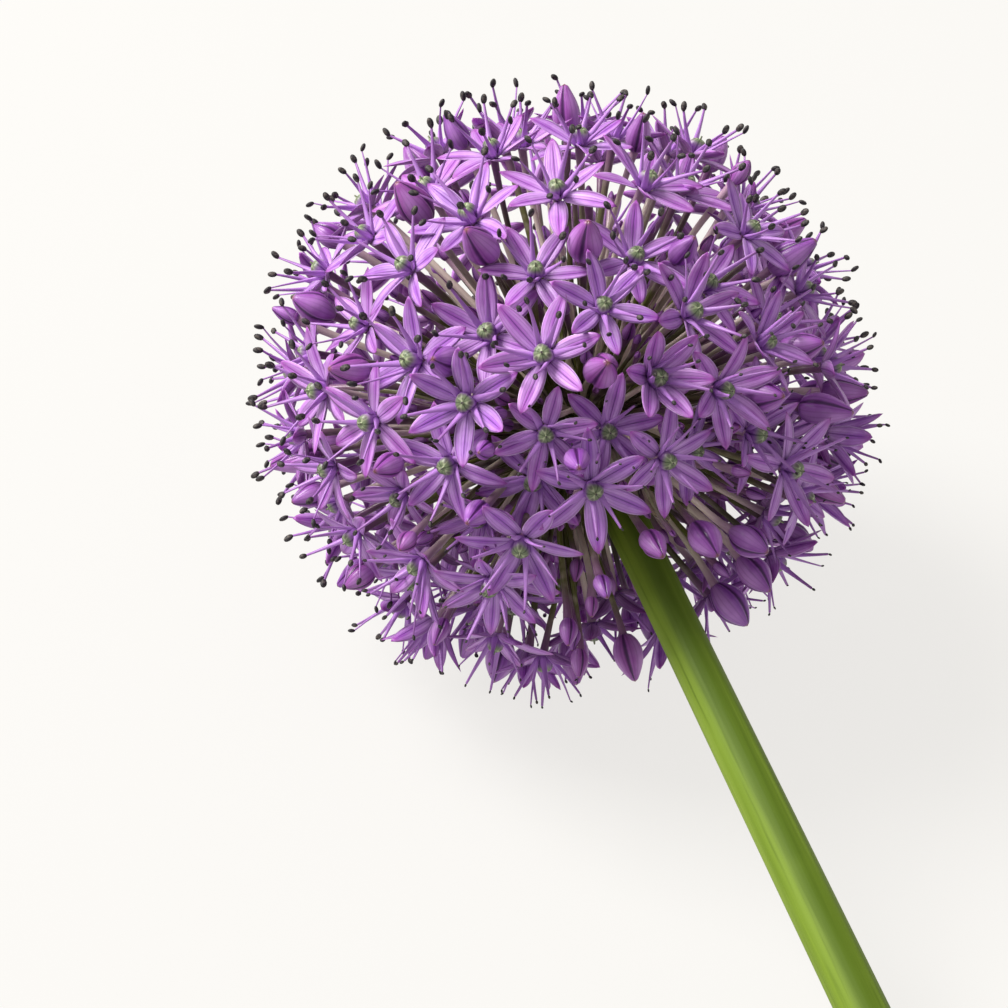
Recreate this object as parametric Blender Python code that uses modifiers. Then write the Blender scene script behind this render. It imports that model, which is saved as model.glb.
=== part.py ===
"""Allium flower head on its cut stem, lying on a surface.

The stem (scape) runs along -Y from the flower head and slopes down to its cut end. About 220
flowers stand on thin stalks (pedicels) around the stem's swollen top (the receptacle). An
allium's umbel is made of short side-clusters whose stalks share one foot: each is one solid.

Metres, +Z up. The origin is on the surface, under the middle of the bounding box.
"""

import itertools
import math
from dataclasses import dataclass

import bmesh
import bpy
import numpy as np
from mathutils import Matrix, Vector

# Stem
STEM_LENGTH = 0.140          # receptacle's centre to the cut end
STEM_TOP_RADIUS = 0.0032
STEM_END_RADIUS = 0.0036
STEM_TILT = math.radians(16)  # slope from the flower head down to the cut end
STEM_SIDES = 20
RECEPTACLE_RADIUS = 0.0058

# Flower head
HEAD_RADIUS = 0.050          # centre of the head to the tips of the stamens
HEAD_LEAD = 0.010            # the head's centre lies this far beyond the receptacle
OPEN_FLORETS = 140
BUDS = 76
CLUSTERS = 52
OPEN_REACH = math.radians(132)   # how far from the apex the open florets go
BUD_START = math.radians(12)     # how near the apex the buds start
BUD_REACH = math.radians(153)    # how far from the apex the buds go
FOOT_REACH = math.radians(124)   # how far from the apex the clusters' feet go

# One flower
PEDICEL_RADIUS = 0.0005
TEPALS = 6
TEPAL_LENGTH = 0.0070
TEPAL_HALF_WIDTH = 0.0010     # the room that a tepal takes, not the width of its solid
STAMEN_LENGTH = 0.0095
HEART_RADIUS = 0.0014        # where the tepals start
HEART_DEPTH = 0.0014
BUD_LENGTH = 0.0083
BUD_RADIUS = 0.0023
FOOT_RADIUS = 0.0008
FOOT_LENGTH = 0.0022
SEAT_GAP = 0.0004            # left between a solid and what carries it

# How the flowers find their places
SEED = 12
OPEN_CUPS = [math.radians(angle) for angle in (12, 22, 33, 46)]
OPEN_SINKS = (0.0, 0.0015, 0.003, 0.0045, 0.006, 0.008)
BUD_SINKS = (0.003, 0.005, 0.007, 0.009, 0.011, 0.013)
BUD_SIZES = (0.55, 0.75, 0.75, 0.9, 0.9, 1.0, 1.0)
LEAN = 0.07                  # how far a flower's own axis strays from the head's radius
CLEAR_ENOUGH = 0.0003        # more room than this to a neighbour counts for nothing
TOUCH_COST = 5               # how much more a clash counts than missing room
CUP_COST = 0.0009            # metres of room that a flower gives up to open by one more radian
SINK_COST = 0.04             # metres of room that it gives up to stand one metre higher
SWEEPS = 4                   # how often every flower looks round and turns again
NEAR = 0.62                  # flowers whose directions differ by less than this are neighbours

# Spathe bracts
BRACTS = 3
BRACT_LENGTH = 0.015
BRACT_HALF_ANGLE = math.radians(46)
BRACT_THICKNESS = 0.0004
BRACT_FLARE = 0.0022         # how far a bract's tip stands away from the stem

# The receptacle's centre: above the surface, and back from the middle of the bounding box
RECEPTACLE = Vector((
    0.0,
    0.0380,
    STEM_LENGTH * math.sin(STEM_TILT)
    + STEM_END_RADIUS * math.cos(STEM_TILT) * math.cos(math.pi / STEM_SIDES),
))
# Head frame: +Z towards the apex, +X as the world's
HEAD_FRAME = Matrix.Translation(RECEPTACLE) @ Matrix.Rotation(STEM_TILT - math.pi / 2, 4, "X")
HEAD_TURN = np.array(HEAD_FRAME.to_3x3())
HEAD_CENTRE = np.array(HEAD_FRAME @ Vector((0, 0, HEAD_LEAD)))

GREEN = (0.16, 0.27, 0.05)
VIOLET = (0.32, 0.10, 0.46)
PAPER = (0.62, 0.50, 0.36)


# ---------------------------------------------------------------- where the flowers stand

def on_cap(count, start, reach, turn):
    """Return evenly spread directions whose angles from +Z run from start to reach."""
    step = np.arange(count) + 0.5
    height = np.cos(start) + (np.cos(reach) - np.cos(start)) * step / count
    around = step * math.pi * (3 - math.sqrt(5)) + turn
    across = np.sqrt(1 - height ** 2)
    return np.stack([across * np.cos(around), across * np.sin(around), height], axis=1)


def spread(points, others, reach, rounds):
    """Push directions away from each other and from others, none further than reach from +Z."""
    step = 0.35 * math.sqrt(4 * math.pi / (len(points) + len(others)))
    for _ in range(rounds):
        crowd = np.concatenate([points, others])
        away = points[:, None, :] - crowd[None, :, :]
        distance = np.linalg.norm(away, axis=2)
        distance[distance < 1e-9] = 1e9
        push = (away / distance[:, :, None] ** 4).sum(axis=1)
        push /= np.linalg.norm(push, axis=1).max()
        points = points + step * push
        points /= np.linalg.norm(points, axis=1)[:, None]
        low = points[:, 2] < math.cos(reach)
        across = np.linalg.norm(points[:, :2], axis=1)
        points[low, :2] *= (math.sin(reach) / across[low])[:, None]
        points[low, 2] = math.cos(reach)
        step *= 0.93
    return points


def upright(axis, spin):
    """Return a turn matrix whose third column is the axis, spun about it."""
    side = np.cross(axis, (0.0, 0.0, 1.0) if abs(axis[2]) < 0.9 else (1.0, 0.0, 0.0))
    side /= np.linalg.norm(side)
    other = np.cross(axis, side)
    cos, sin = math.cos(spin), math.sin(spin)
    return np.stack([cos * side + sin * other, cos * other - sin * side, axis], axis=1)


# Where along a stalk, a tepal and a bud its thickness counts, and how thick it is there
STALK_SHARES = np.arange(0.45, 0.98, 0.08)
TEPAL_SHARES = np.array((0.3, 0.55, 0.8, 1.0))
TEPAL_WIDTHS = np.array((0.9, 1.0, 0.7, 0.2))
BUD_SHARES = np.array((0.2, 0.5, 0.85))
BUD_WIDTHS = np.array((0.7, 1.0, 0.5))


@dataclass
class Flower:
    """One flower: the top of its stalk, the way it faces, and how far it has opened."""

    is_open: bool
    direction: np.ndarray    # from the receptacle's centre, in the head frame
    base: np.ndarray         # top of the stalk, in the world
    axis: np.ndarray
    spin: float
    cup: float               # how far the tepals rise from flat
    size: float
    sink: float              # how far it stays below the head's surface

    def turn(self):
        """Return the flower's turn matrix."""
        return upright(self.axis, self.spin)

    def tepal_points(self, shares):
        """Return points of every tepal's midline, at shares of its length."""
        angles = 2 * math.pi * (np.arange(TEPALS) + 0.5) / TEPALS
        length = TEPAL_LENGTH * self.size * np.array(shares)[:, None]
        out = HEART_RADIUS + length * math.cos(self.cup)
        rise = HEART_DEPTH / 2 + length * math.sin(self.cup) + 0 * angles
        points = np.stack([out * np.cos(angles), out * np.sin(angles), rise], axis=-1)
        return self.base + points.reshape(-1, 3) @ self.turn().T

    def room(self):
        """Return balls (x, y, z, radius) that fill the flower and the outer half of its stalk."""
        receptacle = np.array(RECEPTACLE)
        stalk = receptacle + (self.base - receptacle) * STALK_SHARES[:, None]
        if self.is_open:
            heart = self.base + self.axis * HEART_DEPTH
            stamens = self.base + self.axis * STAMEN_LENGTH * 0.5
            middles = [stalk, self.tepal_points(TEPAL_SHARES), [heart, stamens]]
            widths = TEPAL_HALF_WIDTH * np.repeat(TEPAL_WIDTHS, TEPALS)
            radii = [widths, [HEART_RADIUS, HEART_RADIUS * 1.5]]
        else:
            body = self.base + self.axis * BUD_LENGTH * self.size * BUD_SHARES[:, None]
            middles = [stalk, body]
            radii = [BUD_RADIUS * self.size * BUD_WIDTHS]
        radii = np.concatenate([np.full(len(stalk), PEDICEL_RADIUS), *radii])
        return np.column_stack([np.concatenate(middles), radii])


def clearances(rooms, crowd):
    """Return the least gap between each group of balls and a crowd of balls."""
    middles, radii = rooms[..., :3].reshape(-1, 3), rooms[..., 3].reshape(-1)
    squares = (middles ** 2).sum(axis=1)[:, None] + (crowd[:, :3] ** 2).sum(axis=1)
    gaps = np.sqrt(np.maximum(squares - 2 * middles @ crowd[:, :3].T, 0))
    gaps -= radii[:, None] + crowd[:, 3]
    return np.round(gaps.reshape(len(rooms), -1).min(axis=1), 9)


def stand(direction, is_open, sink, spin, cup, size, lean):
    """Return a flower whose own outer end reaches the head's surface, less the given sink."""
    ahead = HEAD_LEAD * direction[2]
    outer = ahead + math.sqrt(HEAD_RADIUS ** 2 - HEAD_LEAD ** 2 + ahead ** 2)
    own_length = STAMEN_LENGTH if is_open else BUD_LENGTH * size
    facing = HEAD_TURN @ direction
    base = np.array(RECEPTACLE) + facing * (outer - own_length - sink)
    axis = base - HEAD_CENTRE
    axis = axis / np.linalg.norm(axis) + lean
    axis = axis / np.linalg.norm(axis)
    return Flower(is_open, direction, base, axis, spin, cup, size, sink)


def poses(is_open, spin):
    """Return the ways in which a flower could stand, as its sink, spin and cup."""
    if is_open:
        spins = [spin + math.radians(more) for more in (0, 15, 30, 45)]
        return itertools.product(OPEN_SINKS, spins, OPEN_CUPS)
    return itertools.product(BUD_SINKS, (spin,), (0.0,))


def best_way(rooms, tastes, crowd):
    """Return which way to stand is best: room to the neighbours first, then flat and high."""
    gaps = clearances(rooms, crowd)
    gaps = np.where(gaps > 0, np.minimum(gaps, CLEAR_ENOUGH), gaps * TOUCH_COST)
    return int(np.argmax(gaps - tastes))


def arrange_flowers():
    """Place the florets, then the buds in the gaps, each turned to keep clear of its neighbours."""
    dice = np.random.default_rng(SEED)
    florets = on_cap(OPEN_FLORETS, 0, OPEN_REACH, 0.4) + dice.normal(0, 0.05, (OPEN_FLORETS, 3))
    florets = spread(florets, np.empty((0, 3)), OPEN_REACH, 14)
    buds = spread(on_cap(BUDS, BUD_START, BUD_REACH, 2.1), florets, BUD_REACH, 40)
    directions = np.concatenate([florets, buds])
    ways, rooms, tastes = [], [], []
    for number, direction in enumerate(directions):
        is_open = number < OPEN_FLORETS
        size = dice.uniform(0.92, 1.08) if is_open else dice.choice(BUD_SIZES)
        lean, spin = dice.normal(0, LEAN, 3), dice.uniform(0, 1)
        stood = [stand(direction, is_open, *pose, size, lean) for pose in poses(is_open, spin)]
        ways.append(stood)
        rooms.append(np.array([way.room() for way in stood]))
        tastes.append(np.array([CUP_COST * way.cup + SINK_COST * way.sink for way in stood]))
    chosen = [0] * len(directions)
    for _ in range(SWEEPS):
        for number, direction in enumerate(directions):
            near = np.linalg.norm(directions - direction, axis=1) < NEAR
            near[number] = False
            crowd = [rooms[other][chosen[other]] for other in np.flatnonzero(near)]
            chosen[number] = best_way(rooms[number], tastes[number], np.concatenate(crowd))
    return [stood[choice] for stood, choice in zip(ways, chosen)]


def gather_clusters(flowers):
    """Return the centre direction of each cluster and the number of each flower's cluster."""
    directions = np.array([f.direction for f in flowers])
    centres = on_cap(CLUSTERS, 0, BUD_REACH, 1.0)
    for _ in range(30):
        owner = np.argmax(directions @ centres.T, axis=1)
        for number in range(CLUSTERS):
            own = directions[owner == number]
            if len(own):
                centres[number] = own.sum(axis=0) / np.linalg.norm(own.sum(axis=0))
    return centres, owner


# ---------------------------------------------------------------- solids

def material(name, colour, roughness):
    """Return a plain Principled material."""
    made = bpy.data.materials.new(name)
    made.use_nodes = True
    shader = made.node_tree.nodes["Principled BSDF"]
    shader.inputs["Base Color"].default_value = (*colour, 1)
    shader.inputs["Roughness"].default_value = roughness
    made.diffuse_color = (*colour, 1)
    return made


def add_object(name, mesh, collection):
    """Return a new object that holds the mesh, in the collection."""
    made = bpy.data.objects.new(name, mesh)
    collection.objects.link(made)
    return made


def mesh_from(bm, name):
    """Turn a finished bmesh into a mesh and free it."""
    mesh = bpy.data.meshes.new(name)
    bmesh.ops.recalc_face_normals(bm, faces=bm.faces)
    bm.to_mesh(mesh)
    bm.free()
    return mesh


def stalked(bm, flower, start):
    """Draw the bottom face of a flower's solid out into its stalk, down to the start point."""
    axis = Vector(flower.axis)
    bottom = min(bm.faces, key=lambda f: (f.calc_center_median() - Vector(flower.base)).dot(axis))
    stalk_end = bmesh.ops.extrude_discrete_faces(bm, faces=[bottom])["faces"][0]
    for vert in stalk_end.verts:
        vert.co += start - Vector(flower.base)


def press(bm):
    """Flatten what would reach below the surface that the head lies on."""
    for vert in bm.verts:
        vert.co.z = max(vert.co.z, 0.0)


def floret_mesh(flower, start):
    """Return an open floret: a six-sided heart, six tepals, a pointed centre and the stalk."""
    bm = bmesh.new()
    placed = Matrix(flower.turn()).to_4x4()
    placed.translation = Vector(flower.base + flower.axis * HEART_DEPTH / 2)
    bmesh.ops.create_cone(bm, cap_ends=True, segments=TEPALS, radius1=PEDICEL_RADIUS,
                          radius2=HEART_RADIUS, depth=HEART_DEPTH, matrix=placed)
    stalked(bm, flower, start)
    axis, base = Vector(flower.axis), Vector(flower.base)
    top = max(bm.faces, key=lambda f: (f.calc_center_median() - base).dot(axis))
    centre = bmesh.ops.poke(bm, faces=[top])["verts"][0]
    centre.co = base + axis * STAMEN_LENGTH
    sides = [f for f in bm.faces
             if len(f.verts) == 4 and 0 < (f.calc_center_median() - base).dot(axis)]
    tips = [Vector(tip) for tip in flower.tepal_points((1.0,))]
    for vert in bmesh.ops.poke(bm, faces=sides)["verts"]:
        vert.co = min(tips, key=lambda tip: (tip - vert.co).length)
    press(bm)
    return mesh_from(bm, "floret")


def bud_mesh(flower, start):
    """Return a bud: widest below its middle, with a pointed tip, on its stalk."""
    bm = bmesh.new()
    waist = 0.45 * BUD_LENGTH * flower.size
    placed = Matrix(flower.turn()).to_4x4()
    placed.translation = Vector(flower.base + flower.axis * waist / 2)
    bmesh.ops.create_cone(bm, cap_ends=True, segments=TEPALS, radius1=PEDICEL_RADIUS * 1.6,
                          radius2=BUD_RADIUS * flower.size, depth=waist, matrix=placed)
    stalked(bm, flower, start)
    axis, base = Vector(flower.axis), Vector(flower.base)
    top = max(bm.faces, key=lambda f: (f.calc_center_median() - base).dot(axis))
    tip = bmesh.ops.poke(bm, faces=[top])["verts"][0]
    tip.co = base + axis * BUD_LENGTH * flower.size
    press(bm)
    return mesh_from(bm, "bud")


def foot_mesh(direction):
    """Return the foot that a cluster's stalks share, standing on the receptacle."""
    bm = bmesh.new()
    facing = HEAD_TURN @ direction
    seat = RECEPTACLE_RADIUS + SEAT_GAP
    placed = Matrix(upright(facing, 0.0)).to_4x4()
    placed.translation = RECEPTACLE + Vector(facing) * (seat + FOOT_LENGTH / 2)
    bmesh.ops.create_cone(bm, cap_ends=True, segments=TEPALS, radius1=FOOT_RADIUS,
                          radius2=FOOT_RADIUS * 0.8, depth=FOOT_LENGTH, matrix=placed)
    return mesh_from(bm, "foot")


def foot_direction(direction):
    """Move a direction near the stem forward, to where the receptacle's side is free."""
    polar = math.acos(max(-1.0, min(1.0, direction[2]))) * FOOT_REACH / BUD_REACH
    across = direction[:2] / max(1e-9, np.linalg.norm(direction[:2]))
    return np.array([*(across * math.sin(polar)), math.cos(polar)])


def join_solids(name, meshes, collection, cutters):
    """Return one object made of overlapping solids, joined into one body."""
    joined = add_object(name, meshes[0], collection)
    for number, mesh in enumerate(meshes[1:], 1):
        tool = add_object(f"{name}_tool_{number}", mesh, cutters)
        tool.hide_render = True
        tool.display_type = "WIRE"
        union = joined.modifiers.new(f"flower_{number}", "BOOLEAN")
        union.operation = "UNION"
        union.object = tool
    return joined


def build_clusters(collection, cutters):
    """Make one solid for each cluster: its foot, its stalks, its florets and buds."""
    flowers = arrange_flowers()
    centres, owner = gather_clusters(flowers)
    for number, centre in enumerate(centres):
        facing = foot_direction(centre)
        start = RECEPTACLE + Vector(HEAD_TURN @ facing) * (
            RECEPTACLE_RADIUS + SEAT_GAP + FOOT_LENGTH * 0.5)
        solids = [foot_mesh(facing)]
        for flower, owned_by in zip(flowers, owner):
            if owned_by == number:
                shape = floret_mesh if flower.is_open else bud_mesh
                solids.append(shape(flower, start))
        name = f"floret_cluster_{number + 1:02d}"
        cluster = join_solids(name, solids, collection, cutters)
        cluster.data.materials.append(material(name, VIOLET, 0.55))


def build_scape(collection):
    """Turn the stem and the receptacle at its top as one profile about the stem's axis."""
    neck = -RECEPTACLE_RADIUS * 1.35
    profile = []
    for step in range(8):
        angle = math.radians(step * 142 / 7)
        profile.append((RECEPTACLE_RADIUS * math.sin(angle), RECEPTACLE_RADIUS * math.cos(angle)))
    profile.append((STEM_TOP_RADIUS, neck))
    for share in (0.5, 1.0):
        profile.append((STEM_TOP_RADIUS + (STEM_END_RADIUS - STEM_TOP_RADIUS) * share,
                        neck + (-STEM_LENGTH - neck) * share))
    profile.append((0.0, -STEM_LENGTH))
    mesh = bpy.data.meshes.new("scape")
    mesh.from_pydata([(x, 0, z) for x, z in profile],
                     [(i, i + 1) for i in range(len(profile) - 1)], [])
    scape = add_object("scape", mesh, collection)
    half_side = Matrix.Rotation(math.pi / STEM_SIDES + math.pi / 2, 4, "Z")
    scape.matrix_world = HEAD_FRAME @ half_side
    turned = scape.modifiers.new("turned", "SCREW")
    turned.axis = "Z"
    turned.steps = turned.render_steps = STEM_SIDES
    turned.use_merge_vertices = True
    turned.merge_threshold = 0.00001
    turned.use_smooth_shade = True
    mesh.materials.append(material("scape", GREEN, 0.5))


def build_bracts(collection):
    """Hang the papery bracts around the stem's top, curved round it and flaring to a point."""
    rows, columns = 6, 4
    for number in range(BRACTS):
        bm = bmesh.new()
        bmesh.ops.create_grid(bm, x_segments=columns - 1, y_segments=rows - 1, size=1.0)
        middle = 2 * math.pi * (number + 0.5) / BRACTS
        for vert in bm.verts:
            along = (1 - vert.co.y) / 2
            width = 1.0 - 0.82 * along ** 1.6
            angle = middle + vert.co.x * width * BRACT_HALF_ANGLE
            away = STEM_TOP_RADIUS + 2.4 * BRACT_THICKNESS + BRACT_FLARE * along ** 2
            down = RECEPTACLE_RADIUS * 0.92 + BRACT_LENGTH * along
            vert.co = (away * math.cos(angle), away * math.sin(angle), -down)
        bmesh.ops.recalc_face_normals(bm, faces=bm.faces)
        mesh = bpy.data.meshes.new("bract")
        bm.to_mesh(mesh)
        bm.free()
        name = f"spathe_bract_{number + 1}"
        bract = add_object(name, mesh, collection)
        bract.matrix_world = HEAD_FRAME
        sheet = bract.modifiers.new("sheet", "SOLIDIFY")
        sheet.thickness = BRACT_THICKNESS
        sheet.offset = 0.0
        mesh.materials.append(material(name, PAPER, 0.8))


def main():
    """Clear the scene and build the flower."""
    for old in list(bpy.data.objects):
        bpy.data.objects.remove(old)
    collection = bpy.data.collections.new("allium_flower_head")
    cutters = bpy.data.collections.new("cutters")
    bpy.context.scene.collection.children.link(collection)
    bpy.context.scene.collection.children.link(cutters)
    build_scape(collection)
    build_bracts(collection)
    build_clusters(collection, cutters)


main()
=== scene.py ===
"""Looks of a cut allium flower head that lies on its side on a pale surface.

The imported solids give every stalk, floret and bud its place. This script grows the fine plant
on them: tepals, filaments, anthers and ovaries of the open florets, ribbed buds, bowed stalks,
papery bracts and the streaked stem. Metres, +Z up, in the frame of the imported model.
"""

from __future__ import annotations

import itertools
import logging
import math
from collections.abc import Iterator, Sequence
from dataclasses import dataclass, field, replace
from enum import Enum, IntEnum

import bpy
import numpy as np
from mathutils import Matrix, Quaternion, Vector

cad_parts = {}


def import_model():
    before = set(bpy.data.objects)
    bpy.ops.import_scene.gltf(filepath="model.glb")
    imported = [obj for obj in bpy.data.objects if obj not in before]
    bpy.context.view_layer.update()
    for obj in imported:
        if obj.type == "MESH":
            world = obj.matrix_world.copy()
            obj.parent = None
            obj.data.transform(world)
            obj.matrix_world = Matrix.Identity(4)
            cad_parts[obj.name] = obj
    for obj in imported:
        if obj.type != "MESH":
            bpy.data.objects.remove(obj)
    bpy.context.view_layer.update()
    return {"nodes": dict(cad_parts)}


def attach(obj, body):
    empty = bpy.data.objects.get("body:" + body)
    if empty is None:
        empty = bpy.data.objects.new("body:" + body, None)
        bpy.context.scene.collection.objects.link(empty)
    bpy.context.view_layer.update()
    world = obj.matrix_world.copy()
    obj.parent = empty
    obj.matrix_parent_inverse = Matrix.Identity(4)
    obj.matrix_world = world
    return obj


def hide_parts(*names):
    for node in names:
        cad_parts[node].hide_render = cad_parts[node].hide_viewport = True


LOG = logging.getLogger("allium")
Colour = tuple[float, float, float]
TEPALS = 6


class Organ(IntEnum):
    """What a point of a cluster's plan grows into."""

    STALK = 0
    TEPAL = 1
    FILAMENT = 2
    ANTHER = 3
    OVARY = 4
    BUD = 5


class Slot(Enum):
    """The record's material slots."""

    STEM = "stem_green"
    BRACT = "dry_bract"
    FLORETS = "tepal_violet"


# ---------------------------------------------------------------- node trees


class Wire:
    """A node's output that takes part in Python expressions."""

    def __init__(self, graph: Graph, socket: bpy.types.NodeSocket) -> None:
        """Keep the graph that holds the socket."""
        self.graph = graph
        self.socket = socket

    def __add__(self, other: Value) -> Wire:
        """Return the sum."""
        return self.graph.math("ADD", self, other)

    def __radd__(self, other: Value) -> Wire:
        """Return the sum."""
        return self.graph.math("ADD", other, self)

    def __sub__(self, other: Value) -> Wire:
        """Return the difference."""
        return self.graph.math("SUBTRACT", self, other)

    def __rsub__(self, other: Value) -> Wire:
        """Return the difference."""
        return self.graph.math("SUBTRACT", other, self)

    def __mul__(self, other: Value) -> Wire:
        """Return the product."""
        return self.graph.math("MULTIPLY", self, other)

    def __rmul__(self, other: Value) -> Wire:
        """Return the product."""
        return self.graph.math("MULTIPLY", other, self)

    def __truediv__(self, other: Value) -> Wire:
        """Return the quotient."""
        return self.graph.math("DIVIDE", self, other)

    def __abs__(self) -> Wire:
        """Return the size without its sign."""
        return self.graph.math("ABSOLUTE", self)


Value = float | Wire
Coat = tuple[Wire, Wire | None, Wire | None]     # colour, roughness and height


class Graph:
    """Adds nodes to a shader tree or a geometry tree."""

    def __init__(self, tree: bpy.types.NodeTree) -> None:
        """Keep the tree."""
        self.tree = tree

    def node(self, kind: str, settings: dict | None = None,
             inputs: dict | None = None) -> bpy.types.Node:
        """Add a node.

        Args:
            kind: The node's type.
            settings: Its own settings, which are set first.
            inputs: Values or wires for its sockets, by name or by number.

        Returns:
            The new node.
        """
        made = self.tree.nodes.new(kind)
        for name, value in (settings or {}).items():
            setattr(made, name, value)
        for name, value in (inputs or {}).items():
            if isinstance(name, int):
                socket = made.inputs[name]
            else:
                socket = next(s for s in made.inputs if s.name == name and s.enabled)
            if isinstance(value, Wire):
                self.tree.links.new(value.socket, socket)
            else:
                socket.default_value = value
        return made

    def wire(self, node: bpy.types.Node, name: str | int = 0) -> Wire:
        """Find one of a node's outputs.

        Args:
            node: The node.
            name: The output's name, or its number among the enabled ones.

        Returns:
            The output as a wire.
        """
        if isinstance(name, int):
            return Wire(self, [s for s in node.outputs if s.enabled][name])
        return Wire(self, next(s for s in node.outputs if s.name == name and s.enabled))

    def math(self, operation: str, *values: Value) -> Wire:
        """Return the result of a Math node."""
        inputs = dict(enumerate(values))
        return self.wire(self.node("ShaderNodeMath", {"operation": operation}, inputs))

    def smooth(self, value: Value, low: float, high: float) -> Wire:
        """Add a smooth step.

        Args:
            value: What is stepped.
            low: Where the step starts.
            high: Where it ends.

        Returns:
            The step, from 0 to 1.
        """
        return self.wire(self.node(
            "ShaderNodeMapRange", {"interpolation_type": "SMOOTHSTEP"},
            {"Value": value, "From Min": low, "From Max": high}))

    def mix(self, share: Value, first: Colour | Wire, second: Colour | Wire) -> Wire:
        """Mix two colours.

        Args:
            share: 0 for the first colour, 1 for the second.
            first: The first colour.
            second: The second colour.

        Returns:
            The colour between them.
        """
        whole = [c if isinstance(c, Wire) else (*c, 1.0) for c in (first, second)]
        made = self.node("ShaderNodeMix", {"data_type": "RGBA"},
                         {"Factor": share, "A": whole[0], "B": whole[1]})
        return self.wire(made, "Result")

    def darken(self, share: Value, colour: Wire, shade: Colour) -> Wire:
        """Lay a shade on a colour.

        Args:
            share: How much of the shade is laid on.
            colour: The colour.
            shade: What it is multiplied by.

        Returns:
            The darker colour.
        """
        made = self.node("ShaderNodeMix", {"data_type": "RGBA", "blend_type": "MULTIPLY"},
                         {"Factor": share, "A": colour, "B": (*shade, 1.0)})
        return self.wire(made, "Result")

    def attribute(self, name: str, output: str = "Fac") -> Wire:
        """Return a mesh attribute in a shader tree."""
        return self.wire(self.node("ShaderNodeAttribute", {"attribute_name": name}), output)

    def named(self, name: str, data_type: str) -> Wire:
        """Read a mesh attribute in a geometry tree.

        Args:
            name: The attribute's name.
            data_type: Its data type.

        Returns:
            The attribute.
        """
        made = self.node("GeometryNodeInputNamedAttribute", {"data_type": data_type},
                         {"Name": name})
        return self.wire(made, "Attribute")

    def parts(self, vector: Wire) -> tuple[Wire, Wire, Wire]:
        """Return the three numbers of a vector."""
        made = self.node("ShaderNodeSeparateXYZ", None, {0: vector})
        return self.wire(made, "X"), self.wire(made, "Y"), self.wire(made, "Z")

    def noise(self, scale: float, detail: float = 2.0, vector: Wire | None = None,
              stretch: Sequence[float] = (1.0, 1.0, 1.0)) -> Wire:
        """Add smooth noise.

        Args:
            scale: How fine it is.
            detail: How many finer layers it has.
            vector: Where it is read, the object's own place if not given.
            stretch: What the vector is multiplied by along each axis.

        Returns:
            The noise, from 0 to 1.
        """
        if vector is None:
            vector = self.wire(self.node("ShaderNodeTexCoord"), "Object")
        mapped = self.node("ShaderNodeMapping", None, {"Vector": vector, "Scale": stretch})
        made = self.node("ShaderNodeTexNoise", None,
                         {"Vector": self.wire(mapped), "Scale": scale, "Detail": detail})
        return self.wire(made, 0)


# ---------------------------------------------------------------- finishes


@dataclass(frozen=True)
class Finish:
    """A plant surface: a Principled shader whose colour, roughness and bump follow the organ."""

    name: str
    roughness: float = 0.5
    through: float = 0.0        # how much light spreads inside the surface
    reach: float = 0.001        # how far that light goes
    gloss: float = 0.4          # how strongly the bare surface shines

    def paint(self, graph: Graph) -> Coat:
        """Return the colour, the roughness and the height of the surface."""
        raise NotImplementedError

    def material(self) -> bpy.types.Material:
        """Make the finish's material.

        Returns:
            The new material.
        """
        made = bpy.data.materials.new(self.name)
        made.use_nodes = True
        shader = made.node_tree.nodes["Principled BSDF"]
        graph = Graph(made.node_tree)
        colour, roughness, height = self.paint(graph)
        shader.inputs["Roughness"].default_value = self.roughness
        shader.inputs["Subsurface Weight"].default_value = self.through
        shader.inputs["Subsurface Scale"].default_value = self.reach
        shader.inputs["Subsurface Radius"].default_value = (1.0, 0.6, 0.9)
        shader.inputs["Specular IOR Level"].default_value = self.gloss
        graph.tree.links.new(colour.socket, shader.inputs["Base Color"])
        if roughness is not None:
            graph.tree.links.new(roughness.socket, shader.inputs["Roughness"])
        if height is not None:
            bump = graph.node("ShaderNodeBump", None,
                              {"Height": height, "Strength": 0.6, "Distance": 0.0001})
            graph.tree.links.new(bump.outputs["Normal"], shader.inputs["Normal"])
        return made


@dataclass(frozen=True)
class TepalFinish(Finish):
    """Satin violet with a dark midrib, fine lengthwise veins, a pale rim and a pink-purple tip."""

    body: Colour = (0.300, 0.092, 0.475)
    warm: Colour = (0.375, 0.102, 0.455)
    pale: Colour = (0.700, 0.440, 0.820)
    vein: Colour = (0.075, 0.012, 0.160)
    tip: Colour = (0.270, 0.040, 0.300)

    def paint(self, graph: Graph) -> Coat:
        """Paint a tepal.

        Args:
            graph: The material's nodes.

        Returns:
            The colour, the roughness and the height of the surface.
        """
        along, across, _ = graph.parts(graph.attribute("place", "Vector"))
        tone = graph.attribute("tone")
        side = abs(across)
        wander = graph.noise(520.0) - 0.5
        colour = graph.mix(tone, self.body, self.warm)
        lightness = (1 - graph.smooth(along, 0.05, 0.62)) * 0.42 + wander * 0.5
        band = graph.smooth(side, 0.10, 0.45) * (1 - graph.smooth(side, 0.62, 1.0))
        colour = graph.mix(lightness + band * 0.34, colour, self.pale)
        colour = graph.mix(graph.smooth(side, 0.80, 1.0) * 0.75, colour, self.pale)
        colour = graph.mix(graph.smooth(along, 0.72, 1.0) * 0.75, colour, self.tip)
        veins = graph.math("PINGPONG", side + wander * 0.05, 0.15) / 0.15
        fine = (1 - graph.smooth(veins, 0.0, 0.5)) * graph.smooth(side, 0.12, 0.25)
        fade = 1 - graph.smooth(along, 0.70, 0.98)
        midrib = (1 - graph.smooth(side, 0.01, 0.10)) * fade
        colour = graph.mix(fine * fade * 0.22, colour, self.vein)
        colour = graph.mix(midrib * (0.62 + wander * 0.6), colour, self.vein)
        return colour, None, fine * -0.5 - midrib


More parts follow.
